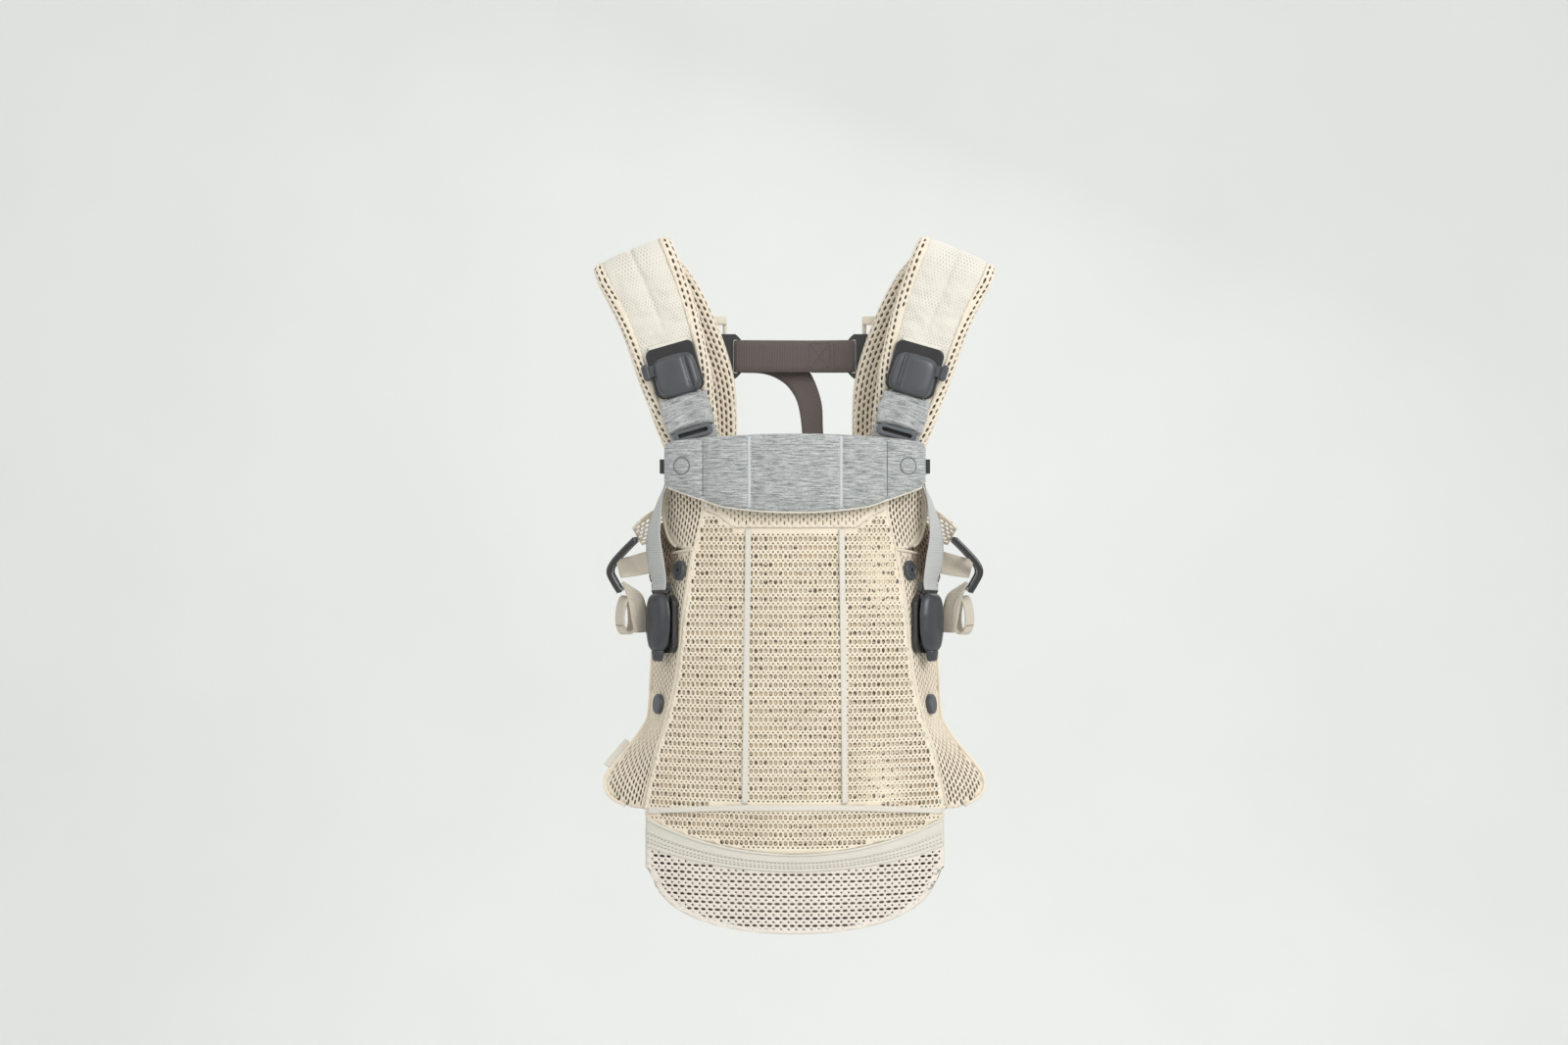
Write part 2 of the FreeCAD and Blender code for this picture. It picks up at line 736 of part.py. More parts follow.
def side_adjusters():
    """Bent ladder-lock plates that hang from the strap tails, and the finger loops of their webbing."""
    bend = [
        (-149.0, -258.5),
        (-169.0, -280.0),
        ((-174.2, -288.0), (-172.5, -294.0)),
        (-163.5, -309.5),
        (-160.4, -307.6),
        (-168.6, -293.0),
        ((-170.2, -289.0), (-166.2, -282.6)),
        (-146.4, -261.0),
    ]
    slots = boolean(
        "Part::Fuse",
        "AdjusterSlots",
        block("AdjusterSlotHigh", (-160, -12.5, -273.5), (-150, 12.5, -270.0)),
        block("AdjusterSlotLow", (-176, -12.5, -302.5), (-155, 12.5, -299.0)),
    )
    pair(boolean("Part::Cut", "Adjuster", bar("AdjusterPlate", [bend], 32.0), slots), "side_adjuster")

    outer, inner = rounded(13, 36, 6.4, x=-155.5, z=-329), rounded(9.4, 32.4, 4.6, x=-155.5, z=-329)
    loop = bar("FingerLoop", [outer, inner], 18.0)
    pair(loop, "finger_loop")

    run = [
        ((-132.4, 9, -304.0), (0, 5, 0)),
        ((-144.0, 3, -299.0), (0, 9, 0)),
        ((-155.5, 0, -296.5), (0, 10, 0)),
        ((-157.5, 0, -302.0), (0, 10, 0)),
        ((-157.5, 0, -310.4), (0, 9, 0)),
    ]
    twins(strip("AdjusterWebbing", run, 1.6), "adjuster_webbing")


side_adjusters()


# ------------------------------------------------------------- cross strap


def cross_strap():
    """Webbing between the back legs, its two runners on the rails, and its free tail."""
    centre, depth = cell("cross_height"), cell("cross_depth")
    half = cell("cross_webbing_width") / 2
    low, high = centre - half, centre + half
    front, back = depth - 9.5, depth + 2.0
    tail = strip("CrossTail", [
        ((-30.0, back + 1, centre), (0, 0, half)),
        ((-12.0, back + 1, centre - 7), (4, 0, half - 1)),
        ((4.0, back, centre - 21), (9, 1, 9)),
        ((14.0, back - 2, centre - 43), (11, 2, 2)),
        ((17.0, back - 4, centre - 71), (10, 3, 0)),
        ((18.0, back - 5, centre - 103), (11, 2, 0)),
    ], 1.6)
    whole = doc.addObject("Part::MultiFuse", "CrossWebbing")
    whole.Shapes = [
        block("CrossBand", (-54.0, front, low), (54.0, front + 2, high)),
        block("CrossFoldLeft", (-57.0, front, low), (-54.0, back + 2, high)),
        block("CrossFoldRight", (54.0, front, low), (57.0, back + 2, high)),
        block("CrossBackLeft", (-54.0, back, low), (-30.0, back + 2, high)),
        block("CrossBackRight", (14.0, back, low), (54.0, back + 2, high)),
        tail,
    ]
    node(whole, "cross_strap")

    outline = [
        (-70.0, centre - 21),
        (-56.0, centre - 21),
        ((-45.5, centre), (-56.0, centre + 21)),
        (-70.0, centre + 21),
    ]
    runner = plate("Runner", "3.2", outline, rounded(4.5, 31.5, 1.5, x=-55.5, z=centre))
    runner.Placement.Base = Vector(0, depth - 1.4, 0)
    clip = plate("RunnerClip", "Dims.rail_diameter + 5", rounded(9.0, 34, 1.5, x=-66.0, z=centre))
    clip.Placement.Base = Vector(0, depth + 4.5, 0)
    bore = doc.addObject("Part::Cylinder", "RunnerBore")
    bore.setExpression("Radius", "Dims.rail_diameter / 2 + 0.3")
    bore.Height = 60
    bore.Placement.Base = Vector(-cell("rail_offset"), depth, centre - 30)
    joined = boolean("Part::Fuse", "RunnerJoined", runner, clip)
    twins(boolean("Part::Cut", "RunnerWhole", joined, bore), "cross_strap_runners")


cross_strap()


# -------------------------------------------------------------- waist belt


def belt_front():
    """The belt's padded front: a binding band, the slotted mesh below it, and the foam behind both."""
    face_in = "Dims.panel_radius - Dims.mesh_thick"
    band = [
        (137.5, -516.5),
        ((0, -545.5), (-137.5, -516.5)),
        (-137.5, -541.0),
        ((0, -559.5), (137.5, -541.0)),
    ]
    node(shell("BeltBand", band, face_in, "Dims.panel_radius"), "belt_band")
    mesh = [
        (137.5, -541.6),
        ((0, -560.1), (-137.5, -541.6)),
        (-137.5, -564.0),
        ((-129.5, -583.0), (-112.0, -597.5)),
        ((-62.0, -612.3), (0, -616.5)),
        ((62.0, -612.3), (112.0, -597.5)),
        ((129.5, -583.0), (137.5, -564.0)),
    ]
    node(shell("BeltMesh", mesh, face_in, "Dims.panel_radius"), "belt_mesh")
    core = [
        (126.0, -521.0),
        ((0, -549.0), (-126.0, -521.0)),
        (-126.0, -566.0),
        ((-119.0, -582.0), (-104.0, -594.5)),
        ((-58.0, -608.5), (0, -612.5)),
        ((58.0, -608.5), (104.0, -594.5)),
        ((119.0, -582.0), (126.0, -566.0)),
    ]
    core_out = face_in + " - Dims.layer_gap"
    node(shell("BeltCore", core, core_out + " - Dims.belt_core_thick", core_out), "belt_core")


belt_front()


def belt_wings():
    """Padded ends of the belt, from the sides of the front pad round to the back."""
    depth = cell("belt_back_depth")
    stations = [
        ((-132.6, -11.5, -545.0), (0, 0, 20.0)),
        ((-132.6, 12.0, -546.0), (0, 0, 22.0)),
        ((-129.0, 34.0, -547.0), (0, 0, 23.0)),
        ((-118.0, depth - 10, -547.0), (0, 0, 23.0)),
        ((-100.0, depth - 5, -546.0), (0, 0, 22.5)),
        ((-52.0, depth - 5, -545.0), (0, 0, 21.0)),
    ]
    pair(strip("BeltWing", stations, 9.4), "belt_wing")


belt_wings()

BELT_BUCKLE = Placement(Vector(0, cell("belt_back_depth") + 4.5, -545.0), Rotation(UP, 180))


def belt_buckle():
    """The centre-release buckle behind the waist, its two webbings and its push button."""
    width, height = cell("belt_buckle_width"), cell("belt_buckle_height")
    housing = plate("BeltHousing", "13", rounded(width, height, 7, x=10), rounded(14, 20, 3, x=10))
    round_front(housing, 3.0)
    mouth = block("BeltMouth", (-16, -9.4, -15), (30, -3.6, 15))
    opened = boolean("Part::Cut", "BeltHousingOpen", housing, mouth)
    opened.Placement = at(BELT_BUCKLE, 6.0)
    node(opened, "belt_buckle_housing")

    button = round_front(plate("BeltButton", "3.4", rounded(13, 19, 2.6, x=10)), 1.0)
    button.Placement = at(BELT_BUCKLE, -3.9)
    node(button, "belt_buckle_button")

    half = 13.5
    outer = [(-40, -20), (-20, -20), (-17, -half), (20, -half), (24, -half + 4), (24, half - 4), (20, half),
             (-17, half), (-20, 20), (-40, 20)]
    window = rounded(15, 20.6, 3.2, x=10)
    tongue = plate("BeltTongue", "3.8", outer, window, rounded(3.2, 36.6, 1.5, x=-35.5))
    tongue.Placement = at(BELT_BUCKLE, 1.2)
    node(tongue, "belt_buckle_tongue")

    y, z = BELT_BUCKLE.Base.y, BELT_BUCKLE.Base.z
    half = cell("belt_webbing_width") / 2
    front, back = y - 2.2, y - 0.6
    right = block("BeltWebbingRight", (41.0, front, z - half), (88.0, back, z + half))
    node(right, "belt_webbing_right")
    left = block("BeltWebbingLeft", (-92.0, front, z - half), (-36.5, back, z + half))
    node(left, "belt_webbing_left")
    roll = doc.addObject("Part::Cylinder", "TailRoll")
    roll.Radius = 7.0
    roll.setExpression("Height", "Dims.belt_webbing_width")
    roll.Placement.Base = Vector(-82, y + 6.8, z - half)
    node(roll, "belt_tail_roll")


belt_buckle()


# ------------------------------------------------------------------ export


def failed(obj):
    return any(word in ("Invalid", "Error") for word in obj.State)


def export():
    doc.recompute()
    broken = [obj.Name for obj in doc.Objects if failed(obj)]
    if broken:
        raise RuntimeError(f"these objects failed: {broken}")
    for obj in nodes:
        if obj.Shape.isNull() or not obj.Shape.isValid() or not obj.Shape.Solids:
            raise RuntimeError(f"{obj.Label} has no valid solid")
    os.makedirs("parts", exist_ok=True)
    for obj in nodes:
        obj.Shape.exportStep(f"parts/{obj.Label}.step")
    print(f"{len(nodes)} nodes")


export()
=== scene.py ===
"""Looks of a soft baby carrier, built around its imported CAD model.

Shapes are worked out in millimetres in the CAD frame (+Z up, -Y the front) and written in metres.
Left-hand pieces (negative X) are built and the right-hand ones mirror them.
"""

import json
import math

import bmesh
import bpy
import numpy as np
from mathutils import Matrix, Vector
from mathutils.bvhtree import BVHTree

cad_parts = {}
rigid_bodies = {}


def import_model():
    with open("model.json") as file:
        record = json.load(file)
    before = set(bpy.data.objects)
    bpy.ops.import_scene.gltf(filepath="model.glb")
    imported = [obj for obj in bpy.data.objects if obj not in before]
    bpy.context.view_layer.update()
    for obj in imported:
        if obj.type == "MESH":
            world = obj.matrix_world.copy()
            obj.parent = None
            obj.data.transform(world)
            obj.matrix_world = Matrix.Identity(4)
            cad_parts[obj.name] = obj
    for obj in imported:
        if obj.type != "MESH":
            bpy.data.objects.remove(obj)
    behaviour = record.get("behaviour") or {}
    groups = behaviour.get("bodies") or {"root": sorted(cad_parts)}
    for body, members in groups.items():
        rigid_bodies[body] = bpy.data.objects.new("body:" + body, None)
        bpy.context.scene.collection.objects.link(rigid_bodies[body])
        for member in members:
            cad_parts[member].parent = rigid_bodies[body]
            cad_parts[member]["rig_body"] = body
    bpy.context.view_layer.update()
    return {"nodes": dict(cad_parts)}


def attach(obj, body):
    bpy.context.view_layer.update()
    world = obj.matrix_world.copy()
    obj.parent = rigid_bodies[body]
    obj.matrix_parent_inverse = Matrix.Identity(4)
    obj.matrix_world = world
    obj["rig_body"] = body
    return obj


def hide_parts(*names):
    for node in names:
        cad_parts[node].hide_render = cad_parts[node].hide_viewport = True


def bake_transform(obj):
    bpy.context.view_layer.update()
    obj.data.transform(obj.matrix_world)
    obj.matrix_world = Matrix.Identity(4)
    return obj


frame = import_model()
MM = 0.001
ROOT = "carrier"
RANDOM = np.random.default_rng(7)

# ------------------------------------------------------------------ sizes, in mm

PANEL_RADIUS = 280.0
PANEL_AXIS_Y = 228.0
SEAM = [(92.5, -271), (97, -300), (101.5, -330), (107.5, -384), (117, -423), (129.5, -464), (139, -506)]
WING = [  # height, half width at the seam, outer edge x and y
    (-268, 93, 121, 8),
    (-300, 98, 127, 9),
    (-330, 102.5, 131, 10),
    (-384, 108.5, 133, 14),
    (-423, 118, 136.5, 18),
    (-436, 121.5, 142, 19.5),
    (-452, 127, 153, 20),
    (-470, 131, 168, 19),
    (-482, 134.5, 176, 17),
    (-494, 137.5, 176, 13),
    (-502, 139.5, 168, 7),
    (-508, 141, 152, -4),
]
UPPER_SIDE = [  # rows like the wing's
    (-192, 86, 108, -19),
    (-203, 86, 113, -14),
    (-215, 85.5, 118, -9),
    (-232, 85, 121, -6),
    (-250, 88.5, 119, -7),
    (-262, 91.5, 114, -11),
    (-270, 93, 103, -20),
]
CREST = np.array([-144.0, 0, -12.0])
CREST_LEAN = 23.0
STRAP_HALF = 38.0
FRONT_LEG = [
    ((-93.0, 0, -180.0), 0.57, 12),
    ((-97.0, 0, -163.0), 0.68, 14),
    ((-103.5, 0, -135.0), 0.78, 15),
    ((-112.0, 0, -102.0), 0.87, 15.5),
    ((-125.0, 0, -58.0), 0.93, 15.5),
    ((-135.5, 0, -31.0), 0.97, 19),
]
BACK_LEG = [
    ((-128.0, 2.0, -33.0), 0.99, 30),
    ((-113.5, 4.0, -58.0), 0.96, 24),
    ((-100.5, 6.5, -88.0), 0.93, 18),
    ((-92.0, 8.5, -115.0), 0.91, 10),
    ((-88.5, 10.5, -140.0), 0.88, 3),
    ((-88.0, 12.0, -168.0), 0.86, 0),
    ((-88.0, 13.5, -197.0), 0.82, -2),
]

FINE_ROWS = [(5.0, 1.74, 2.28), (2.8, 1.02, 0.85)]
FINE_PITCH = 4.5
BELT_ROWS = [(3.6, 2.4, 1.15), (3.0, 1.05, 0.98)]
BELT_PITCH = 6.9
SIDE_ROWS = [(3.9, 2.45, 1.2)]
SIDE_PITCH = 6.3


# ------------------------------------------------------------------ materials


class Shader:
    """A small wrapper that adds and links shader nodes of one material."""

    def __init__(self, name, roughness, **sockets):
        self.material = bpy.data.materials.new(name)
        self.material.use_nodes = True
        self.tree = self.material.node_tree
        self.bsdf = self.tree.nodes["Principled BSDF"]
        self.bsdf.inputs["Roughness"].default_value = roughness
        for key, value in sockets.items():
            self.bsdf.inputs[key.replace("_", " ")].default_value = value

    def node(self, kind, **inputs):
        made = self.tree.nodes.new("ShaderNode" + kind)
        for key, value in inputs.items():
            self.feed(made.inputs[key.replace("_", " ")], value)
        return made

    def feed(self, socket, value):
        if isinstance(value, bpy.types.NodeSocket):
            self.tree.links.new(value, socket)
        else:
            socket.default_value = value

    def math(self, operation, a, b=0.0, c=0.0):
        made = self.tree.nodes.new("ShaderNodeMath")
        made.operation = operation
        for socket, value in zip(made.inputs, (a, b, c)):
            self.feed(socket, value)
        return made.outputs[0]

    def noise(self, vector, scale, detail=2.0, rough=0.5):
        made = self.node("TexNoise", Scale=scale, Detail=detail, Roughness=rough)
        self.tree.links.new(vector, made.inputs["Vector"])
        return made.outputs["Fac"]

    def ramp(self, value, *stops):
        """A colour ramp. Each stop is a place and a colour."""
        made = self.tree.nodes.new("ShaderNodeValToRGB")
        elements = made.color_ramp.elements
        while len(elements) < len(stops):
            elements.new(0.5)
        for element, (place, colour) in zip(elements, stops):
            element.position = place
            element.color = (*colour, 1)
        self.tree.links.new(value, made.inputs["Fac"])
        return made.outputs["Color"]

    def mix(self, factor, a, b):
        made = self.tree.nodes.new("ShaderNodeMix")
        made.data_type = "RGBA"
        self.feed(made.inputs["Factor"], factor)
        self.feed(made.inputs[6], (*a, 1) if isinstance(a, tuple) else a)
        self.feed(made.inputs[7], (*b, 1) if isinstance(b, tuple) else b)
        return made.outputs[2]

    def colour(self, value):
        self.feed(self.bsdf.inputs["Base Color"], (*value, 1) if isinstance(value, tuple) else value)

    def bump(self, height, distance, strength=1.0):
        made = self.node("Bump", Strength=strength, Distance=distance * MM, Height=height)
        self.tree.links.new(made.outputs["Normal"], self.bsdf.inputs["Normal"])

    def weave(self):
        """The cloth's own coordinates in mm, stored on the mesh: across, along and depth."""
        made = self.tree.nodes.new("ShaderNodeAttribute")
        made.attribute_name = "weave"
        return made.outputs["Vector"]

    def place(self):
        """The object's own coordinates, in metres."""
        return self.node("TexCoord").outputs["Object"]

    def scaled(self, vector, factors):
        made = self.tree.nodes.new("ShaderNodeVectorMath")
        made.operation = "MULTIPLY"
        self.feed(made.inputs[0], vector)
        made.inputs[1].default_value = factors
        return made.outputs[0]

    def split(self, vector):
        made = self.node("SeparateXYZ", Vector=vector)
        return made.outputs["X"], made.outputs["Y"], made.outputs["Z"]

    def wave(self, value, period, phase=0.0):
        """A sine of the value, from 0 to 1."""
        turned = self.math("MULTIPLY_ADD", value, 2 * math.pi / period, phase)
        return self.math("MULTIPLY_ADD", self.math("SINE", turned), 0.5, 0.5)


def mesh_thread(name, light, dark):
    """Knitted thread of the open meshes: cream, a little uneven, with fine filaments."""
    s = Shader(name, 0.86, Sheen_Weight=0.35, Sheen_Roughness=0.5)
    at = s.weave()
    broad = s.noise(s.scaled(at, (0.03, 0.03, 0.03)), 1.0, 3)
    fine = s.noise(s.scaled(at, (0.9, 0.9, 0.9)), 1.0, 2)
    tone = s.math("MULTIPLY_ADD", fine, 0.55, s.math("MULTIPLY", broad, 0.45))
    s.colour(s.ramp(tone, (0.32, dark), (0.62, light)))
    x, y, _ = s.split(at)
    filaments = s.wave(s.math("MULTIPLY_ADD", x, 0.8, y), 0.42)
    s.bump(s.math("MULTIPLY_ADD", filaments, 0.4, fine), 0.16, 0.8)
    return s.material


def lining(name, light, dark, holes=0.0):
    """The inner face behind an open mesh, darker where the light doesn't reach."""
    s = Shader(name, 0.92, Sheen_Weight=0.15)
    at = s.weave()
    x, y, _ = s.split(at)
    rings = s.math("MULTIPLY", s.wave(x, 2.25), s.wave(y, 2.6))
    speckle = s.noise(s.scaled(at, (0.24, 0.26, 0.24)), 1.0, 1)
    patch = s.noise(s.scaled(at, (0.02, 0.045, 0.02)), 1.0, 2)
    tone = s.math("MULTIPLY_ADD", rings, 0.35,
        s.math("MULTIPLY_ADD", speckle, 0.4, s.math("MULTIPLY", patch, 0.25)))
    base = s.ramp(tone, (0.25, dark), (0.6, light))
    if holes:
        # Painted shade: near-black spots where deeper holes in the inner layer would lie in shade.
        painted_shade_spots = s.math("MULTIPLY", s.math("GREATER_THAN", speckle, 0.57), s.math("GREATER_THAN", patch, holes))
        base = s.mix(s.math("MULTIPLY", painted_shade_spots, 0.85), base, (0.07, 0.055, 0.045))
    s.colour(base)
    s.bump(rings, 0.2)
    return s.material


def pique_knit(name, across, along):
    """Fine cream pique: small dimples in staggered rows, which repeat across and along the cloth, with
    painted shade darkening the colour in each dimple.
    """
    s = Shader(name, 0.88, Sheen_Weight=0.3, Sheen_Roughness=0.5)
    at = s.weave()
    x, y, _ = s.split(at)
    x, y = s.math("DIVIDE", x, across), s.math("DIVIDE", y, along)
    diagonal = s.wave(s.math("ADD", x, y), 1.0)
    other = s.wave(s.math("SUBTRACT", x, y), 1.0)
    dimple_and_shade = s.math("POWER", s.math("MULTIPLY", diagonal, other), 1.6)
    fine = s.noise(s.scaled(at, (1.6, 1.6, 1.6)), 1.0, 2)
    broad = s.noise(s.scaled(at, (0.03, 0.03, 0.03)), 1.0, 2)
    # Painted shade: the dimples darken the colour as well as the bump.
    tone = s.math("MULTIPLY_ADD", dimple_and_shade, -0.5, s.math("MULTIPLY_ADD", fine, 0.25, broad))
    s.colour(s.ramp(tone, (0.03, (0.43, 0.40, 0.345)), (0.42, (0.70, 0.67, 0.595))))
    s.bump(s.math("MULTIPLY_ADD", dimple_and_shade, -1.0, s.math("MULTIPLY", fine, 0.3)), 0.25)
    return s.material


def jersey_knit():
    """Melange jersey: pale and blue-grey fibres in short level streaks, and fine knit columns."""
    s = Shader("melange_jersey", 0.9, Sheen_Weight=0.4, Sheen_Roughness=0.45)
    at = s.weave()
    x, y, _ = s.split(at)
    streaks = s.noise(s.scaled(at, (0.075, 0.75, 0.3)), 1.0, 4, 0.7)
    flecks = s.noise(s.scaled(at, (0.45, 1.6, 0.5)), 1.0, 2, 0.6)
    tone = s.math("MULTIPLY_ADD", streaks, 0.72, s.math("MULTIPLY", flecks, 0.28))
    s.colour(s.ramp(tone, (0.37, (0.145, 0.155, 0.16)), (0.49, (0.335, 0.352, 0.350)),
        (0.61, (0.57, 0.582, 0.572))))
    ribs = s.wave(x, 0.75)
    loops = s.wave(y, 0.62)
    height = s.math("MULTIPLY_ADD", ribs, 0.6, s.math("MULTIPLY_ADD", loops, 0.3, flecks))
    s.bump(height, 0.14, 0.9)
    return s.material


def webbing(name, light, dark, rib=1.6, gloss=0.75):
    """Woven webbing: ribs across the band with a finer weave along it."""
    s = Shader(name, gloss, Sheen_Weight=0.25)
    at = s.weave()
    x, y, _ = s.split(at)
    ribs = s.wave(y, rib)
    twill = s.wave(s.math("MULTIPLY_ADD", x, 1.0, y), rib * 0.8)
    fine = s.noise(s.scaled(at, (0.8, 1.2, 0.8)), 1.0, 3)
    tone = s.math("MULTIPLY_ADD", ribs, 0.35,
        s.math("MULTIPLY_ADD", twill, 0.25, s.math("MULTIPLY", fine, 0.4)))
    s.colour(s.ramp(tone, (0.2, dark), (0.75, light)))
    s.bump(s.math("MULTIPLY_ADD", ribs, 0.6, s.math("MULTIPLY", twill, 0.4)), 0.22)
    return s.material


def plastic(name, colour, pale_tone, roughness, grain, coat=0.0):
    """Moulded plastic with a fine spark-eroded grain, and a little paler on its sharp convex edges."""
    s = Shader(name, roughness, Coat_Weight=coat, Coat_Roughness=0.2)
    at = s.place()
    fine = s.noise(at, 2600.0, 2)
    broad = s.noise(at, 90.0, 3)
    edges = s.node("NewGeometry").outputs["Pointiness"]
    # Sharp convex edges, picked by pointiness, are mixed up to halfway towards the paler tone.
    pale_edges = s.ramp(edges, (0.5, (0, 0, 0)), (0.58, (1, 1, 1)))
    tone = s.mix(s.math("MULTIPLY", broad, 0.35), colour, pale_tone)
    s.colour(s.mix(s.math("MULTIPLY", pale_edges, 0.5), tone, pale_tone))
    s.feed(s.bsdf.inputs["Roughness"], s.math("MULTIPLY_ADD", broad, 0.16, roughness - 0.08))
    s.bump(fine, grain, 0.6)
    return s.material


def foam():
    """Padding seen through the slots of the mesh."""
    s = Shader("padding", 0.95)
    at = s.weave()
    cells = s.noise(s.scaled(at, (0.9, 0.9, 0.9)), 1.0, 3)
    s.colour(s.ramp(cells, (0.3, (0.20, 0.165, 0.13)), (0.7, (0.36, 0.31, 0.255))))
    s.bump(cells, 0.4)
    return s.material


def thread(name, light, dark):
    """Sewing thread with its twist."""
    s = Shader(name, 0.7, Sheen_Weight=0.2)
    twist = s.noise(s.place(), 2400.0, 2)
    s.colour(s.ramp(twist, (0.35, dark), (0.65, light)))
    s.bump(twist, 0.08)
    return s.material


CREAM = mesh_thread("mesh_thread", (0.86, 0.775, 0.63), (0.74, 0.645, 0.50))
BELT_CREAM = mesh_thread("belt_mesh_thread", (0.84, 0.775, 0.70), (0.70, 0.635, 0.565))
DARK_MESH = mesh_thread("inner_mesh_thread", (0.36, 0.27, 0.195), (0.20, 0.145, 0.105))
SLOT_CREAM = mesh_thread("slot_mesh_thread", (0.85, 0.765, 0.63), (0.72, 0.63, 0.50))
# The panel lining's holes setting paints near-black spots of shade into it.
PANEL_LINING = lining("panel_lining_cloth", (0.90, 0.80, 0.64), (0.52, 0.43, 0.31), holes=0.4)
PANEL_BACKING = lining("panel_backing_cloth", (0.76, 0.70, 0.60), (0.62, 0.56, 0.47))
SIDE_LINING = lining("side_lining_cloth", (0.33, 0.25, 0.18), (0.16, 0.115, 0.08))
DARK_LINING = lining("dark_inner_mesh", (0.17, 0.125, 0.10), (0.08, 0.058, 0.046))
PIQUE = pique_knit("pique_knit", 2.3, 2.3)
STRAP_KNIT = pique_knit("strap_knit", 3.1, 5.4)
JERSEY = jersey_knit()
FOAM = foam()
TAPE = webbing("cream_tape", (0.80, 0.76, 0.68), (0.62, 0.58, 0.51), 1.1, 0.85)
BEIGE_WEBBING = webbing("beige_webbing", (0.66, 0.60, 0.50), (0.47, 0.42, 0.34), 1.4, 0.85)
WELT = webbing("pale_jersey_welt", (0.66, 0.68, 0.685), (0.48, 0.505, 0.515), 1.2, 0.9)
# Also used for the strips of painted shade behind the tri-glides.
BLACK_ELASTIC_AND_SHADE = webbing("black_elastic_and_painted_shade", (0.05, 0.047, 0.046), (0.02, 0.018, 0.018), 0.9, 0.7)
GREY_WEBBING = webbing("grey_webbing", (0.56, 0.57, 0.56), (0.36, 0.37, 0.37), 1.5, 0.7)
DARK_WEBBING = webbing("dark_webbing", (0.125, 0.098, 0.092), (0.05, 0.038, 0.036), 1.5, 0.6)
DEEP_SLATE = plastic("deep_slate_plastic", (0.034, 0.036, 0.042), (0.066, 0.07, 0.078), 0.32, 0.03)
SLATE = plastic("slate_plastic", (0.052, 0.057, 0.065), (0.095, 0.102, 0.112), 0.36, 0.03)
BLACK = plastic("black_plastic", (0.012, 0.012, 0.013), (0.035, 0.035, 0.037), 0.24, 0.012, coat=0.4)
CREAM_PLASTIC = plastic("cream_piping", (0.70, 0.64, 0.53), (0.78, 0.73, 0.63), 0.6, 0.03)
GLIDE = plastic("tri_glide_plastic", (0.10, 0.112, 0.122), (0.17, 0.185, 0.195), 0.24, 0.02)
GREY_THREAD = thread("grey_sewing_thread", (0.74, 0.76, 0.77), (0.50, 0.52, 0.54))
DARK_THREAD = thread("dark_sewing_thread", (0.14, 0.12, 0.11), (0.05, 0.04, 0.04))
# Also drawn along the head support's bends as painted shade of their creases.
SLATE_THREAD_AND_SHADE = thread("slate_thread_and_painted_shade", (0.17, 0.19, 0.205), (0.09, 0.10, 0.11))
TAUPE_THREAD = thread("taupe_sewing_thread", (0.40, 0.35, 0.31), (0.24, 0.205, 0.18))
BROWN_THREAD = thread("brown_sewing_thread", (0.33, 0.23, 0.13), (0.20, 0.13, 0.07))


# ------------------------------------------------------------------ building meshes


def mesh_object(name, verts, faces, material, body=ROOT, slot=None, weave=None, smooth=True, merge=0.0):
    """A mesh from points in mm. It rides on a body. Its slot argument is not used."""
    data = bpy.data.meshes.new(name)
    verts = np.asarray(verts, float)
    data.from_pydata((verts * MM).tolist(), [], [list(map(int, f)) for f in faces])
    if weave is not None:
        stored = data.attributes.new("weave", "FLOAT_VECTOR", "POINT")
        stored.data.foreach_set("vector", np.asarray(weave, np.float32).ravel())
    if merge:
        bm = bmesh.new()
        bm.from_mesh(data)
        bmesh.ops.remove_doubles(bm, verts=bm.verts, dist=merge * MM)
        bmesh.ops.dissolve_degenerate(bm, edges=bm.edges, dist=1e-7)
        bm.to_mesh(data)
        bm.free()
    data.validate()
    data.materials.append(material)
    data.shade_smooth() if smooth else data.shade_flat()
    made = bpy.data.objects.new(name, data)
    bpy.context.scene.collection.objects.link(made)
    if body:
        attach(made, body)
    return made


def mirror(piece):
    """The right-hand twin of a left-hand piece, which rides on the right-hand body."""
    twin = piece.copy()
    twin.data = piece.data.copy()
    twin.name = twin.data.name = piece.name.replace("left", "right")
    bpy.context.scene.collection.objects.link(twin)
    twin.data.transform(Matrix.Scale(-1, 4, (1, 0, 0)))
    twin.data.flip_normals()
    body = piece.get("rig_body")
    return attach(twin, body.replace("left", "right")) if body else twin


def crossing(piece, start, end):
    """Mirrors left-hand cloth and bakes both pieces' transforms. start and end, both in mm, are not used."""
    twin = mirror(piece)
    for made, side, turned_x in ((piece, "left", 1), (twin, "right", -1)):
        near, far = (tuple(np.asarray(point) * (turned_x, 1, 1) * MM) for point in (start, end))
        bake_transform(made)
        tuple(near)
        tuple(far)
    return piece, twin


def both(piece, *nodes):
    """Mirrors a left-hand piece. The two stand for CAD nodes, in whose names {} is the side."""
    twin = mirror(piece)
    for made, side in ((piece, "left"), (twin, "right")):
        for node in nodes:
            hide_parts(node.format(side))
    return piece, twin


def outwards(piece):
    """Turns a closed piece's faces outwards."""
    bm = bmesh.new()
    bm.from_mesh(piece.data)
    bmesh.ops.recalc_face_normals(bm, faces=bm.faces)
    bm.to_mesh(piece.data)
    bm.free()
    return piece


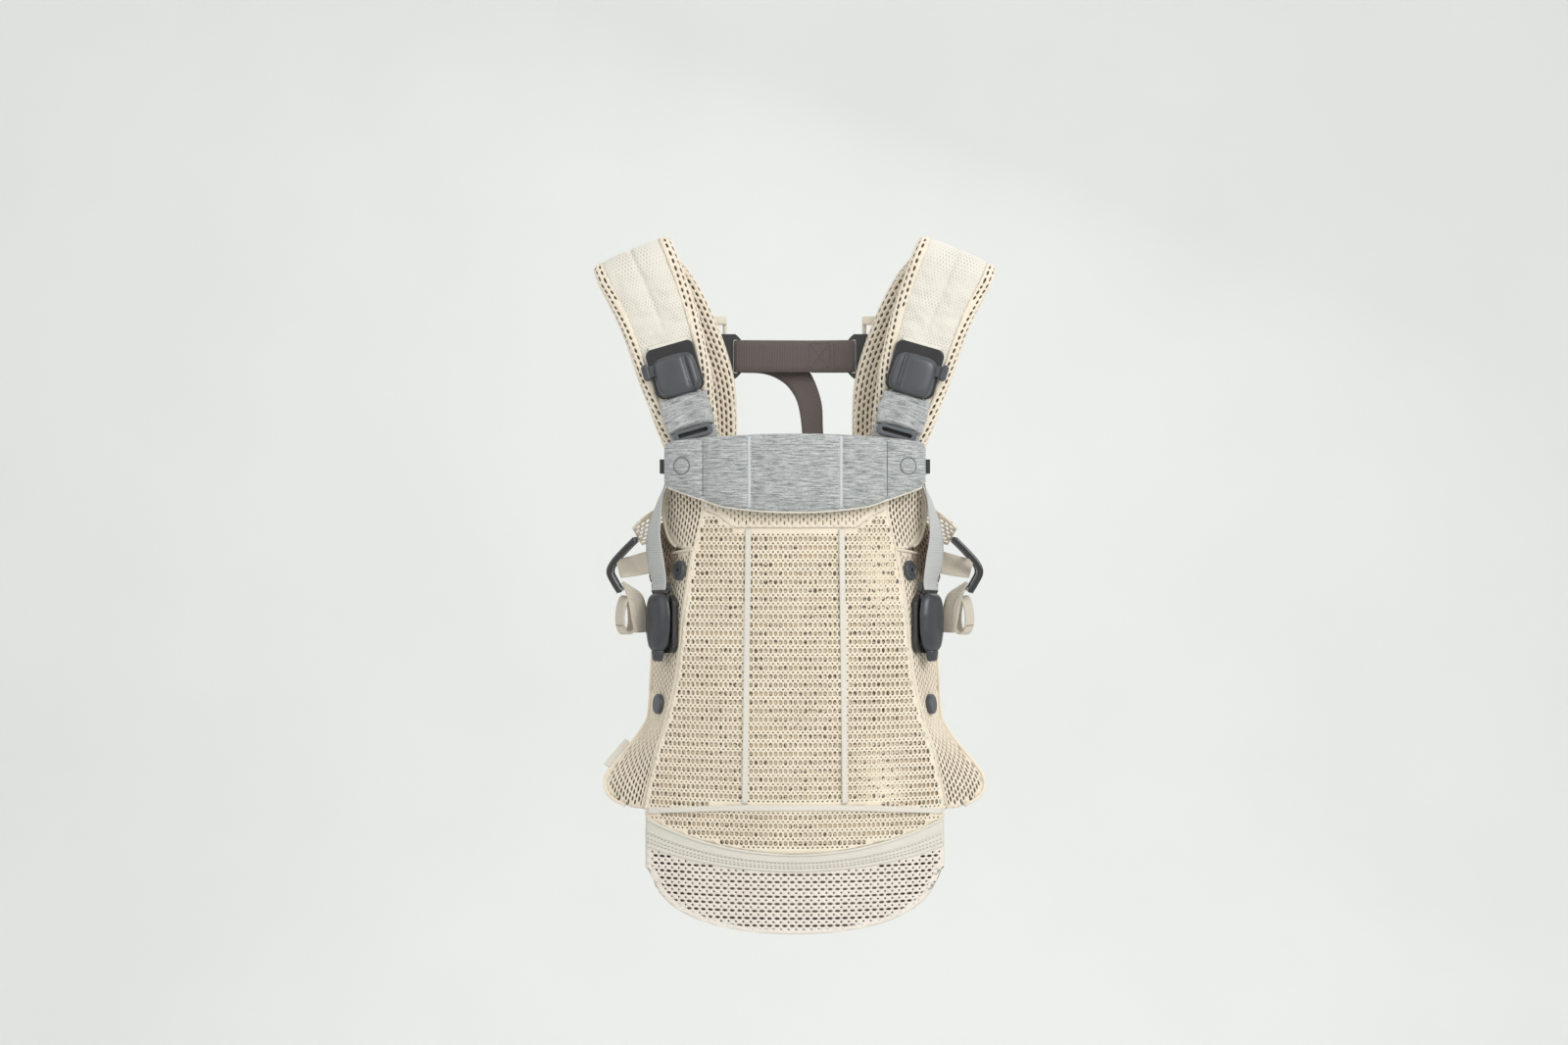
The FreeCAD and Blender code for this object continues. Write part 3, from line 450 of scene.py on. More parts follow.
def spline(rows, count):
    """Rows of numbers, smoothed through by a Catmull-Rom curve, at evenly spaced steps."""
    rows = np.asarray(rows, float)
    ends = np.vstack([2 * rows[0] - rows[1], rows, 2 * rows[-1] - rows[-2]])
    t = np.linspace(0, len(rows) - 1, count)
    i = np.minimum(t.astype(int), len(rows) - 2)
    f = (t - i)[:, None]
    a, b, c, d = ends[i], ends[i + 1], ends[i + 2], ends[i + 3]
    return 0.5 * (2 * b + (c - a) * f + (2 * a - 5 * b + 4 * c - d) * f**2 + (3 * b - a - 3 * c + d) * f**3)


def table(rows, count=200):
    """A smooth function of the first number in each row, giving the others."""
    dense = spline(sorted(rows), count)

    def read(value):
        return [np.interp(value, dense[:, 0], dense[:, i]) for i in range(1, dense.shape[1])]

    return read


def unit(v):
    return v / np.maximum(np.linalg.norm(v, axis=-1, keepdims=True), 1e-12)


def surface_normals(place, u, v):
    step = 0.05
    across = place(u + step, v) - place(u - step, v)
    along = place(u, v + step) - place(u, v - step)
    return unit(np.cross(across, along))


RING_START = -math.pi / 6


def lattice(name, place, span, rows, pitch, limits, material, thick=1.2, pinch=0.45, skew=0.0, side=1,
    **keep):
    """Open knitted mesh with real holes: staggered cells, each with a rounded hole, front and back.

    place(u, v) gives points on the outer face. rows repeats (row height, hole half width, hole half height).
    limits(u, v) moves coordinates inside the outline. Cells that it moves stay solid and make the edge.
    """
    u0, u1, v0, v1 = span
    heights, holes = [], []
    while sum(heights) < v1 - v0:
        height, a, b = rows[len(heights) % len(rows)]
        heights.append(height)
        holes.append((a, b))
    levels = v0 + np.concatenate([[0], np.cumsum(heights)])
    m = 2 * int(math.ceil((u1 - u0) / pitch)) + 3
    k, i = np.mgrid[0 : len(levels), 0:m]
    grid_u = u0 + (i - 1) * pitch / 2.0
    grid_v = levels[k] + pinch * np.where((i + k) % 2 == 1, 1.0, -1.0)
    new_u, new_v = limits(grid_u, grid_v)
    moved = (np.abs(new_u - grid_u) + np.abs(new_v - grid_v) > 1e-6).ravel()
    flat_u, flat_v = new_u.ravel(), new_v.ravel()
    total = flat_u.size

    j, c = np.mgrid[0 : len(heights), 1 : m - 1]
    pick = (j + c) % 2 == 0
    j, c = j[pick], c[pick]
    corners = np.stack(
        [j * m + c + 1, (j + 1) * m + c + 1, (j + 1) * m + c, (j + 1) * m + c - 1, j * m + c - 1,
            j * m + c], 1
    )
    cu, cv = flat_u[corners], flat_v[corners]
    area = 0.5 * (cu * np.roll(cv, -1, 1) - cv * np.roll(cu, -1, 1)).sum(1)
    kept = area > 0.02 * pitch * min(heights)
    full = kept & ~moved[corners].any(1)
    solid = kept & ~full

    us, vs, depths, faces = [flat_u, flat_u], [flat_v, flat_v], [np.zeros(total), np.full(total, thick)], []
    start = 2 * total

    def add(*polygons):
        for polygon in polygons:
            faces.extend(polygon.tolist())

    for q in range(1, 5):
        front = corners[solid][:, [0, q, q + 1]]
        add(front, front[:, ::-1] + total)

    holes = np.array(holes)
    for sides in (12, 6):
        wanted = (holes[j, 0] > 1.2) | (holes[j, 1] > 1.2)
        cells = full & (wanted if sides == 12 else ~wanted)
        if not cells.any():
            continue
        ring = RING_START + np.arange(sides) * 2 * math.pi / sides
        a, b = holes[j[cells], 0][:, None], holes[j[cells], 1][:, None]
        mid_u = (u0 + (c[cells] - 1) * pitch / 2.0)[:, None]
        mid_v = (0.5 * (levels[j[cells]] + levels[j[cells] + 1]))[:, None]
        uneven = 1 + 0.07 * RANDOM.standard_normal((len(a), 1))
        rings = []
        for size, depth in ((1.14, 0.22), (0.98, 0.5), (1.14, 0.78)):
            dv = b * size * np.sin(ring)
            du = a * size * uneven * np.cos(ring) + skew * dv
            us.append((mid_u + du).ravel())
            vs.append((mid_v + dv).ravel())
            depths.append(np.full(du.size, depth * thick))
            rings.append(start + np.arange(du.size).reshape(du.shape))
            start += du.size
        front, middle, back = rings
        outer = corners[cells]
        for q in range(6):
            o0, o1 = outer[:, q], outer[:, (q + 1) % 6]
            if sides == 12:
                i0, i1, i2 = 2 * q, 2 * q + 1, (2 * q + 2) % 12
                add(
                    np.stack([o0, o1, front[:, i1]], 1),
                    np.stack([o0, front[:, i1], front[:, i0]], 1),
                    np.stack([o1, front[:, i2], front[:, i1]], 1),
                    np.stack([o1 + total, o0 + total, back[:, i1]], 1),
                    np.stack([back[:, i1], o0 + total, back[:, i0]], 1),
                    np.stack([back[:, i2], o1 + total, back[:, i1]], 1),
                )
            else:
                i0, i1 = q, (q + 1) % 6
                add(
                    np.stack([o0, o1, front[:, i1], front[:, i0]], 1),
                    np.stack([o1 + total, o0 + total, back[:, i0], back[:, i1]], 1),
                )
        for inner, outer_ring in ((middle, front), (back, middle)):
            for q in range(sides):
                r = (q + 1) % sides
                add(np.stack([outer_ring[:, q], outer_ring[:, r], inner[:, r], inner[:, q]], 1))

    edges = np.concatenate([corners[kept][:, [q, (q + 1) % 6]] for q in range(6)])
    forward, backward = edges[:, 0] * total + edges[:, 1], edges[:, 1] * total + edges[:, 0]
    rim = edges[~np.isin(forward, backward)]
    length = np.hypot(flat_u[rim[:, 0]] - flat_u[rim[:, 1]], flat_v[rim[:, 0]] - flat_v[rim[:, 1]])
    rim = rim[length > 1e-4]
    add(np.stack([rim[:, 1], rim[:, 0], rim[:, 0] + total, rim[:, 1] + total], 1))

    u, v, depth = np.concatenate(us), np.concatenate(vs), np.concatenate(depths)
    points = place(u, v) - surface_normals(place, u, v) * (side * depth)[:, None]
    used = np.zeros(len(u), bool)
    used[np.concatenate([np.asarray(f) for f in faces])] = True
    remap = np.cumsum(used) - 1
    order = 1 if side > 0 else -1
    faces = [[remap[x] for x in f][::order] for f in faces]
    weave = np.stack([u, v, depth], 1)[used]
    return mesh_object(name, points[used], faces, material, weave=weave, merge=0.01, **keep)


def turned(place, limits):
    """The same surface with its cloth turned a quarter, so that slots run along v."""
    return (lambda u, v: place(v, u)), (lambda u, v: limits(v, u)[::-1])


def grid_faces(rows, columns, closed=False):
    """Quads of a grid of points, numbered row by row. closed joins the last column to the first."""
    r, c = np.mgrid[0 : rows - 1, 0 : columns - (0 if closed else 1)]
    n = (c + 1) % columns
    return np.stack([r * columns + c, r * columns + n, (r + 1) * columns + n, (r + 1) * columns + c],
        -1).reshape(-1, 4)


def sheet_object(name, place, us, vs, thick, material, side=1, **keep):
    """A closed thin sheet: us and vs are equal grids of coordinates on a surface."""
    rows, columns = us.shape
    u, v = us.ravel(), vs.ravel()
    points, normals = place(u, v), surface_normals(place, u, v) * side
    total = len(u)
    front = grid_faces(rows, columns)
    if side < 0:
        front = front[:, ::-1]
    index = np.arange(total).reshape(rows, columns)
    loop = np.concatenate([index[0, :-1], index[:-1, -1], index[-1, :0:-1], index[:0:-1, 0]])
    after = np.roll(loop, -1)
    rim = np.stack([after, loop, loop + total, after + total], 1)
    if side < 0:
        rim = rim[:, ::-1]
    faces = np.concatenate([front, front[:, ::-1] + total, rim])
    verts = np.concatenate([points, points - normals * thick])
    weave = np.concatenate([np.stack([u, v, 0 * u], 1), np.stack([u, v, 0 * u + thick], 1)])
    return mesh_object(name, verts, faces, material, weave=weave, **keep)


def sweep(name, centres, sides_at, material, closed=False, **keep):
    """A closed solid through equal rings of points. sides_at is an array (stations, ring, 3)."""
    stations, ring = sides_at.shape[:2]
    faces = grid_faces(stations, ring, closed=True).tolist()
    if closed:
        last = (stations - 1) * ring
        faces += [[last + i, last + (i + 1) % ring, (i + 1) % ring, i] for i in range(ring)]
    else:
        faces += [list(range(ring))[::-1], [(stations - 1) * ring + i for i in range(ring)]]
    lengths = np.concatenate([[0], np.cumsum(np.linalg.norm(np.diff(centres, axis=0), axis=1))])
    around = np.linalg.norm(np.diff(sides_at, axis=1, append=sides_at[:, :1]), axis=2)
    around = np.cumsum(around, axis=1) - around
    weave = np.stack([around, np.repeat(lengths[:, None], ring, 1), 0 * around], -1)
    return outwards(mesh_object(name, sides_at.reshape(-1, 3), faces, material, weave=weave.reshape(-1, 3),
        **keep))


def ribbon(name, stations, thick, material, count=60, closed=False, **keep):
    """Webbing or tape. Each station is a centre and half the width as a vector."""
    rows = np.array([list(c) + list(w) for c, w in stations], float)
    if closed:
        rows = np.vstack([rows, rows[:1]])
    dense = spline(rows, count + closed)
    if closed:
        dense = dense[:-1]
    centre, half = dense[:, :3], dense[:, 3:]
    along = np.roll(centre, -1, 0) - np.roll(centre, 1, 0)
    if not closed:
        along[0], along[-1] = centre[1] - centre[0], centre[-1] - centre[-2]
    normal = unit(np.cross(along, half)) * thick / 2
    across = np.array([-1, -0.97, -0.6, -0.2, 0.2, 0.6, 0.97, 1])
    lift = np.array([0.35, 0.9, 1, 1, 1, 1, 0.9, 0.35])
    front = centre[:, None] + half[:, None] * across[:, None] + normal[:, None] * lift[:, None]
    back = centre[:, None] + half[:, None] * across[:, None] - normal[:, None] * lift[:, None]
    return sweep(name, centre, np.concatenate([front, back[:, ::-1]], 1), material, closed, **keep)


def tube(name, points, radius, material, count=80, sides=10, closed=False, flatten=1.0, **keep):
    """Piping, binding or a cord of round section through points."""
    rows = np.asarray(points, float)
    if closed:
        rows = np.vstack([rows, rows[:1]])
    centre = spline(rows, count + closed)
    if closed:
        centre = centre[:-1]
    along = unit(np.gradient(centre, axis=0))
    up = np.array([0.13, 0.97, 0.21])
    a = unit(np.cross(along, up))
    b = np.cross(along, a)
    turn = np.arange(sides) * 2 * math.pi / sides
    ring = a[:, None] * np.cos(turn)[:, None] + b[:, None] * np.sin(turn)[:, None] * flatten
    return sweep(name, centre, centre[:, None] + ring * radius, material, closed, **keep)


def stitches(name, paths, material, length=2.6, gap=1.3, radius=0.32, lift=0.15, **keep):
    """Rows of raised stitches. Each path is (points, normals); a stitch is a small rounded bead."""
    verts, faces = [], []
    profile = np.array([(-0.5, 0.35), (-0.38, 0.85), (0, 1.0), (0.38, 0.85), (0.5, 0.35)])
    turn = np.arange(6) * math.pi / 3
    for points, normals in paths:
        steps = np.linalg.norm(np.diff(points, axis=0), axis=1)
        s = np.concatenate([[0], np.cumsum(steps)])
        middles = np.arange(gap, s[-1] - gap, length + gap)
        for middle in middles:
            place = lambda d: np.array([np.interp(middle + d, s, points[:, i]) for i in range(3)])
            p, d = place(0), unit(place(0.4) - place(-0.4))
            n = np.array([np.interp(middle, s, normals[:, i]) for i in range(3)])
            n = unit(n - d * n.dot(d))
            w = np.cross(d, n)
            base = len(verts)
            for t, r in profile:
                sag = lift - 0.5 * (2 * t) ** 2 * radius
                for angle in turn:
                    ring = w * math.cos(angle) * r * radius * 1.25 + n * (math.sin(angle) * r * radius + sag)
                    verts.append(p + d * t * length + ring)
            for r in range(len(profile) - 1):
                for q in range(6):
                    a, b = base + r * 6 + q, base + r * 6 + (q + 1) % 6
                    faces.append([a, b, b + 6, a + 6])
            faces.append([base + q for q in range(6)][::-1])
            faces.append([base + 24 + q for q in range(6)])
    return outwards(mesh_object(name, verts, faces, material, **keep))


def on_line(place, us, vs, lift=0.0):
    """Points and outward normals along a line of surface coordinates."""
    us, vs = np.asarray(us, float) + 0 * np.asarray(vs, float), np.asarray(vs, float) + 0 * np.asarray(us,
        float)
    normals = surface_normals(place, us, vs)
    return place(us, vs) + normals * lift, normals


def inflate(piece, pressure, pins, cap, extra=0.02, frames=20, seed_noise=0.15):
    """Swells a closed padded mesh as cloth, with some points held, and keeps the result."""
    scene = bpy.context.scene
    data = piece.data
    rest = np.array([v.co for v in data.vertices])
    shake = RANDOM.standard_normal(rest.shape) * seed_noise * MM
    shake[pins] = 0
    data.vertices.foreach_set("co", (rest + shake).ravel())
    held = piece.vertex_groups.new(name="held")
    held.add([int(i) for i in np.nonzero(pins)[0]], 1.0, "REPLACE")
    cloth = piece.modifiers.new("cloth", "CLOTH")
    settings = cloth.settings
    settings.quality = 6
    settings.mass = 0.2
    settings.tension_stiffness = settings.compression_stiffness = 12
    settings.bending_stiffness = 0.4
    settings.use_pressure = True
    settings.uniform_pressure_force = pressure
    settings.vertex_group_mass = "held"
    settings.shrink_min = -extra
    settings.effector_weights.gravity = 0.0
    cloth.point_cache.frame_start, cloth.point_cache.frame_end = 1, frames
    for number in range(1, frames + 1):
        scene.frame_set(number)
    evaluated = piece.evaluated_get(bpy.context.evaluated_depsgraph_get())
    after = np.array([v.co for v in evaluated.data.vertices])
    piece.modifiers.remove(cloth)
    piece.vertex_groups.remove(held)
    scene.frame_set(1)
    shift = after - rest
    size = np.linalg.norm(shift, axis=1, keepdims=True)
    shift *= np.minimum(1.0, cap * MM / np.maximum(size, 1e-9))
    data.vertices.foreach_set("co", (rest + shift).ravel())
    data.update()
    return piece


def subdivide(piece, levels=1):
    """Smooths a finished soft piece by one Catmull-Clark step."""
    smooth = piece.modifiers.new("smooth", "SUBSURF")
    smooth.levels = smooth.render_levels = levels
    return piece


def pad(name, place, u_lines, thickness, material, columns, rows, lines=(), pressure=4.0, cap=4.0, side=1,
    **keep):
    """A padded piece between two faces. u_lines(a, b) gives u and v for shares a, b from 0 to 1.

    thickness(a, b) is the half thickness. lines are shares a of sewn lines, which stay flat.
    """
    a, b = np.meshgrid(np.linspace(0, 1, columns), np.linspace(0, 1, rows))
    u, v = u_lines(a.ravel(), b.ravel())
    points, normals = place(u, v), surface_normals(place, u, v) * side
    half = thickness(a.ravel(), b.ravel())[:, None]
    edge = ((a == 0) | (a == 1) | (b == 0) | (b == 1)).ravel()
    sewn = edge.copy()
    for line in lines:
        nearest = int(round(line * (columns - 1)))
        sewn |= (np.arange(columns * rows) % columns) == nearest
    total = len(points)
    verts = np.concatenate([points + normals * half, points - normals * half])
    front = grid_faces(rows, columns)
    if side < 0:
        front = front[:, ::-1]
    back = front[:, ::-1] + total
    index = np.arange(total).reshape(rows, columns)
    loop = np.concatenate([index[0, :-1], index[:-1, -1], index[-1, :0:-1], index[:0:-1, 0]])
    after = np.roll(loop, -1)
    rim = np.stack([after, loop, loop + total, after + total], 1)
    if side < 0:
        rim = rim[:, ::-1]
    weave = np.concatenate([np.stack([u, v, 0 * u], 1), np.stack([u, v, 0 * u], 1)])
    made = mesh_object(name, verts, np.concatenate([front, back, rim]), material, weave=weave, **keep)
    inflate(made, pressure, np.concatenate([sewn, sewn]), cap)
    return made


# ------------------------------------------------------------------ front panel and seat


def drum(radius):
    """The panel's upright cylinder at a radius. u is the arc from the middle, v the height."""
    return lambda u, v: np.stack(
        [radius * np.sin(u / radius), PANEL_AXIS_Y - radius * np.cos(u / radius), v + 0 * u], -1
    )


def arc(x, radius=PANEL_RADIUS):
    return radius * np.arcsin(np.asarray(x, float) / radius)


def soft_drum(radius):
    """The panel's face, a little uneven where the cloth hangs between its seams."""
    plain = drum(radius)

    def place(u, v):
        swell = 1.3 * np.cos(u / 29.0) * np.sin((v + 60) / 47.0) + 0.7 * np.sin(u / 17.0 + v / 31.0)
        return plain(u, v) + np.stack([0 * swell, -swell, 0 * swell], -1)

    return place


seam_at = table([(z, x) for x, z in SEAM] + [(-250, 88), (-232, 84)])


def seam(v):
    return seam_at(v)[0]


def tape_line(v):
    """Distance of an upright tape from the middle."""
    return 42.5 + 3.0 * (-250.0 - v) / 248.0


def bowed(middle, side, width):
    """A height that changes from the middle to the sides as a parabola."""
    return lambda u: middle + (side - middle) * (u / width) ** 2


def panel_top(u):
    return np.interp(np.abs(u), [0, 56.4, 70.8, 85.3], [-249.0, -249.0, -238.0, -232.0])


panel_bottom = bowed(-501.5, -509.0, arc(139))
gusset_top = bowed(-502.5, -510.0, arc(138))
gusset_bottom = bowed(-544.0, -515.0, arc(138))
band_top = bowed(-545.0, -516.0, arc(137.5))
band_bottom = bowed(-559.5, -541.0, arc(137.5))
BELT_EDGE = [(0, -617), (30, -616), (56, -613.3), (84, -608), (106, -600), (120, -592), (130, -582.5),
    (136, -573), (141, -561)]
belt_line = table([(-x, z) for x, z in BELT_EDGE[:0:-1]] + BELT_EDGE)


def between(left, right, bottom, top):
    """Limits of an outline: u between two functions of v, and v between two functions of u."""

    def limits(u, v):
        v = np.clip(v, -640, -100)
        u = np.clip(u, left(v), right(v))
        return u, np.clip(v, bottom(u), top(u))

    return limits


def front_panel():
    """The fine open mesh of the panel in three fields, parted by the upright tapes."""
    face = soft_drum(PANEL_RADIUS)
    centre = between(lambda v: -arc(tape_line(v)), lambda v: arc(tape_line(v)), panel_bottom, panel_top)
    left = between(lambda v: -arc(seam(v)), lambda v: -arc(tape_line(v)), panel_bottom, panel_top)
    keep = dict(material=CREAM, slot="open_mesh")
    middle = lattice("panel_mesh_middle", face, (-47, 47, -511, -248), FINE_ROWS, FINE_PITCH, centre, **keep)
    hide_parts("front_panel")
    field = lattice("panel_mesh_left", face, (-147, -41, -511, -231), FINE_ROWS, FINE_PITCH, left, **keep)
    for piece in both(field, "front_panel"):
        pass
    gusset_limits = between(lambda v: -arc(138) + 0 * v, lambda v: arc(138) + 0 * v, gusset_bottom,
        gusset_top)
    gusset = lattice("seat_gusset_mesh", face, (-146, 146, -545, -502), FINE_ROWS, FINE_PITCH,
        gusset_limits, **keep)
    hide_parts("seat_gusset")


def top_band():
    """Slotted stretch mesh across the top, mostly under the head support."""
    width = lambda v: arc(np.interp(v, [-232, -200, -184], [84.5, 88, 88]))
    top = lambda u: np.interp(np.abs(u), [70, 90], [-170, -184])
    limits = between(lambda v: -width(v), width, lambda u: panel_top(u) + 0.3, top)
    place, swapped = turned(soft_drum(PANEL_RADIUS), limits)
    piece = lattice(
        "top_band_mesh", place, (-250, -169, -92, 92), [(3.5, 2.0, 0.62)], 6.0, swapped, SLOT_CREAM,
        thick=2.2, side=-1, slot="open_mesh",
    )
    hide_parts("top_band")


def panel_lining():
    """Plain lining behind the panel, which shows through the holes of the mesh, and its inner cloth."""
    place = soft_drum(PANEL_RADIUS - 1.9)
    inside = soft_drum(PANEL_RADIUS - 3.6)
    b, a = np.mgrid[0:1:70j, -1:1:50j]
    v = -514 + b * (514 - 174)
    half = arc(np.interp(v, [-514, -506, -464, -423, -384, -330, -271, -232, -186, -173],
        [134, 136, 126.5, 114, 104.5, 98.5, 89.5, 81, 84, 68]))
    v = np.where(b < 0.05, gusset_bottom(a * half) + 1.0 + (b / 0.05)
        * (v - gusset_bottom(a * half) - 1.0), v)
    piece = sheet_object("panel_lining_cloth", place, a * half, v, 0.9, PANEL_LINING, slot="plain_knit")
    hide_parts("panel_lining")
    backing = sheet_object("panel_backing_cloth", inside, a * half, v, 0.9, PANEL_BACKING, slot="plain_knit")


def panel_tapes():
    """Woven tapes along the panel's two seams and across the seat."""
    face = soft_drum(PANEL_RADIUS + 1.3)
    b, a = np.mgrid[0:1:90j, -1:1:7j]
    v = -499 + b * 249
    upright = sheet_object("panel_tape_left", face, -arc(tape_line(v)) + a * 2.6, v, 1.5, TAPE, slot="tape")
    for piece in both(upright, "woven_tapes"):
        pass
    u = arc(136) * np.linspace(-1, 1, 120)[None, :] + 0 * np.linspace(0, 1, 6)[:, None]
    rise = np.linspace(-2.6, 2.6, 6)[:, None]
    across = sheet_object("seat_tape", face, u, bowed(-502.3, -509.5, arc(136))(u) + rise, 1.5, TAPE,
        slot="tape")
    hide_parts("woven_tapes")


def belt_front():
    """The belt's front: a plain band and the slotted mesh below it."""
    place = drum(PANEL_RADIUS)
    a, u = np.mgrid[0:1:12j, -1:1:120j]
    u = u * arc(137.5)
    v = band_bottom(u) + a * (band_top(u) - band_bottom(u))
    band = sheet_object("belt_band_cloth", place, u, v, 2.4, PIQUE, slot="plain_knit")
    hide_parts("belt_band")
    limits = between(
        lambda v: -arc(137.5) + 0 * v, lambda v: arc(137.5) + 0 * v,
        lambda u: belt_line(u)[0], lambda u: band_bottom(u) - 0.4,
    )
    rib = np.linspace(-arc(136.5), arc(136.5), 140)
    for name, share, radius in (("belt_band_fold_low", 0.02, 1.3), ("belt_band_fold_middle", 0.56, 0.7),
        ("belt_band_fold_top", 0.985, 1.2)):
        points, _ = on_line(place, rib, band_bottom(rib) + share * (band_top(rib) - band_bottom(rib)), 0.15)
        tube(name, points, radius, PIQUE, 150, 8, slot="plain_knit")
    rows = [on_line(place, rib, band_bottom(rib) + share * (band_top(rib) - band_bottom(rib)), 0.1)
        for share in (0.14, 0.27, 0.45)]
    stitches("belt_band_stitches", rows, TAUPE_THREAD, 2.3, 1.5, 0.3, lift=0.05, slot="plain_knit")
    mesh = lattice(
        "belt_mesh_front", place, (-144, 144, -618, -540), BELT_ROWS, BELT_PITCH, limits, BELT_CREAM,
        thick=2.4, slot="coarse_mesh",
    )
    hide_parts("belt_mesh")


def belt_padding():
    """The belt's padding with its dark lining, seen through the slots and from behind."""
    middle = drum(PANEL_RADIUS - 8.2)

    def spread(a, b):
        u = (a * 2 - 1) * arc(131.0)
        top = bowed(-547.0, -519.0, arc(131))(u)
        low = belt_line(u * 1.035)[0] + 2.5
        return u, low + b * (top - low)

    edge = lambda s: np.clip(1 - np.abs(2 * s - 1) ** 6, 0.12, 1)
    piece = pad(
        "belt_padding", middle, spread, lambda a, b: 5.2 * edge(a) * edge(b), DARK_LINING, 90, 26,
        pressure=2.0, cap=1.5, slot="foam",
    )
    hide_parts("belt_core")


front_panel()
top_band()
panel_lining()
panel_tapes()
belt_front()
belt_padding()


# ------------------------------------------------------------------ sides


def side_surface(rows, bulge=2.0):
    """A side piece's outer face. u runs from its seam to its free edge, v is the height."""
    read = table(rows, 300)

    def ends(v):
        half, x, y = read(v)
        a = np.stack([-half, PANEL_AXIS_Y - np.sqrt((PANEL_RADIUS - 1.0) ** 2 - half**2), v + 0 * half], -1)
        b = np.stack([-x, y, v + 0 * half], -1)
        return a, b

    def width(v):
        a, b = ends(v)
        return np.linalg.norm(b - a, axis=-1)

    def place(u, v):
        a, b = ends(v)
        along = b - a
        span = np.linalg.norm(along, axis=-1)
        share = np.clip(u / span, 0, 1)
        out = unit(np.cross(along, np.array([0, 0, -1.0])))
        lift = bulge * 4 * share * (1 - share) + 0.5 * np.sin(v / 13.0) * share
        return a + along * (u / span)[..., None] + out * lift[..., None]

    return place, width


WING_FLAT, WING_CUT = (0.056, 0.240), 0.0115  # metres, square metres
UPPER_FLAT, UPPER_CUT = (0.050, 0.078), 0.0029
WING_SLOPE = 0.14  # fall of the wing's top edge for each mm away from the seam
WING_LINING_SHIFT = np.array([2.2, 2.6, 0])
SIDE_LINING_THICK = 0.8
WING_FACE, wing_width = side_surface(WING, 0.6)
SIDE_FACE, side_width = side_surface(UPPER_SIDE, 0.8)


def sides():
    """Slotted mesh wings at the legs and the short pieces above them, with a dark inner layer."""
    for stem, face, width, low, high, slope, size, area, node in (
        ("wing_mesh", WING_FACE, wing_width, -508, -268, WING_SLOPE, WING_FLAT, WING_CUT, "wing_{}"),
        ("upper_side_mesh", SIDE_FACE, side_width, -269, -193, 0.0, UPPER_FLAT, UPPER_CUT, "upper_sides"),
    ):
        limits = between(lambda v: -1.2 + 0 * v, width, lambda u: low + 0 * u,
            lambda u: high - slope * np.clip(u, 0, 60))
        place, swapped = turned(face, limits)
        piece = lattice(
            stem + "_left", place, (low - 1, high + 1, -3, 58), SIDE_ROWS, SIDE_PITCH, swapped, SLOT_CREAM,
            thick=2.4, skew=0.25, side=1, slot="coarse_mesh",
        )
        for made in both(piece, node):
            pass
        b, a = np.mgrid[0:1:60j, 0:1:14j]
        v = low + 2 + b * (high - low - 4)
        inner = sheet_object(
            stem.replace("mesh", "lining") + "_left", lambda u, v: face(u, v) + WING_LINING_SHIFT,
            1 + a * (width(v) - 2.5), v, SIDE_LINING_THICK, SIDE_LINING, side=-1, slot="plain_knit",
        )
        for made in both(inner):
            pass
    v = np.linspace(-506, -271, 60)
    for name, u, depth, radius in (
        ("wing_edge_left", wing_width(v), -0.6, 1.7),
        ("wing_seam_left", 0 * v + 1.0, 0.4, 1.1),
    ):
        points, _ = on_line(WING_FACE, u, v, depth)
        both(tube(name, points, radius, SLOT_CREAM, 120, 8, slot="coarse_mesh"))
    v = np.linspace(-266, -196, 30)
    points, _ = on_line(SIDE_FACE, side_width(v), v, -0.6)
    both(tube("upper_side_edge_left", points, 1.5, SLOT_CREAM, 60, 8, slot="coarse_mesh"))
    u = np.linspace(0, 40, 20)
    reach = wing_width(np.array([-268.0]))[0]
    points, _ = on_line(WING_FACE, u * reach / 40.5, -268.5 - WING_SLOPE * u, -0.5)
    both(tube("wing_top_edge_left", points, 1.4, SLOT_CREAM, 40, 8, slot="coarse_mesh"))

    rows = [(-244, 86, 126, 4), (-262, 89, 136, 6), (-280, 93, 141, 8), (-300, 96, 136, 10)]
    deep, deep_width = side_surface(rows, 0.0)
    behind = lambda u, v: deep(u, v) + np.array([1.5, 5.5, 0])
    limits = between(lambda v: 0 * v, deep_width, lambda u: -300 + 0 * u, lambda u: -244 + 0 * u)
    place, swapped = turned(behind, limits)
    inner = lattice("inner_side_mesh_left", place, (-301, -243, -2, 60), SIDE_ROWS, SIDE_PITCH, swapped,
        DARK_MESH, thick=1.4, slot="coarse_mesh")
    for made in both(inner):
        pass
    b, a = np.mgrid[0:1:16j, 0:1:16j]
    v = -299 + b * 54
    back = sheet_object(
        "inner_side_lining_left", lambda u, v: behind(u, v) + np.array([1.2, 2.2, 0]),
        0.5 + a * (deep_width(v) - 1.5), v, SIDE_LINING_THICK, SIDE_LINING, side=-1, slot="plain_knit",
    )
    for made in both(back):
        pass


sides()


# ------------------------------------------------------------------ shoulder straps


def lean_vector(degrees):
    angle = np.radians(degrees)
    return np.stack([np.cos(angle), 0 * angle, np.sin(angle)], -1)


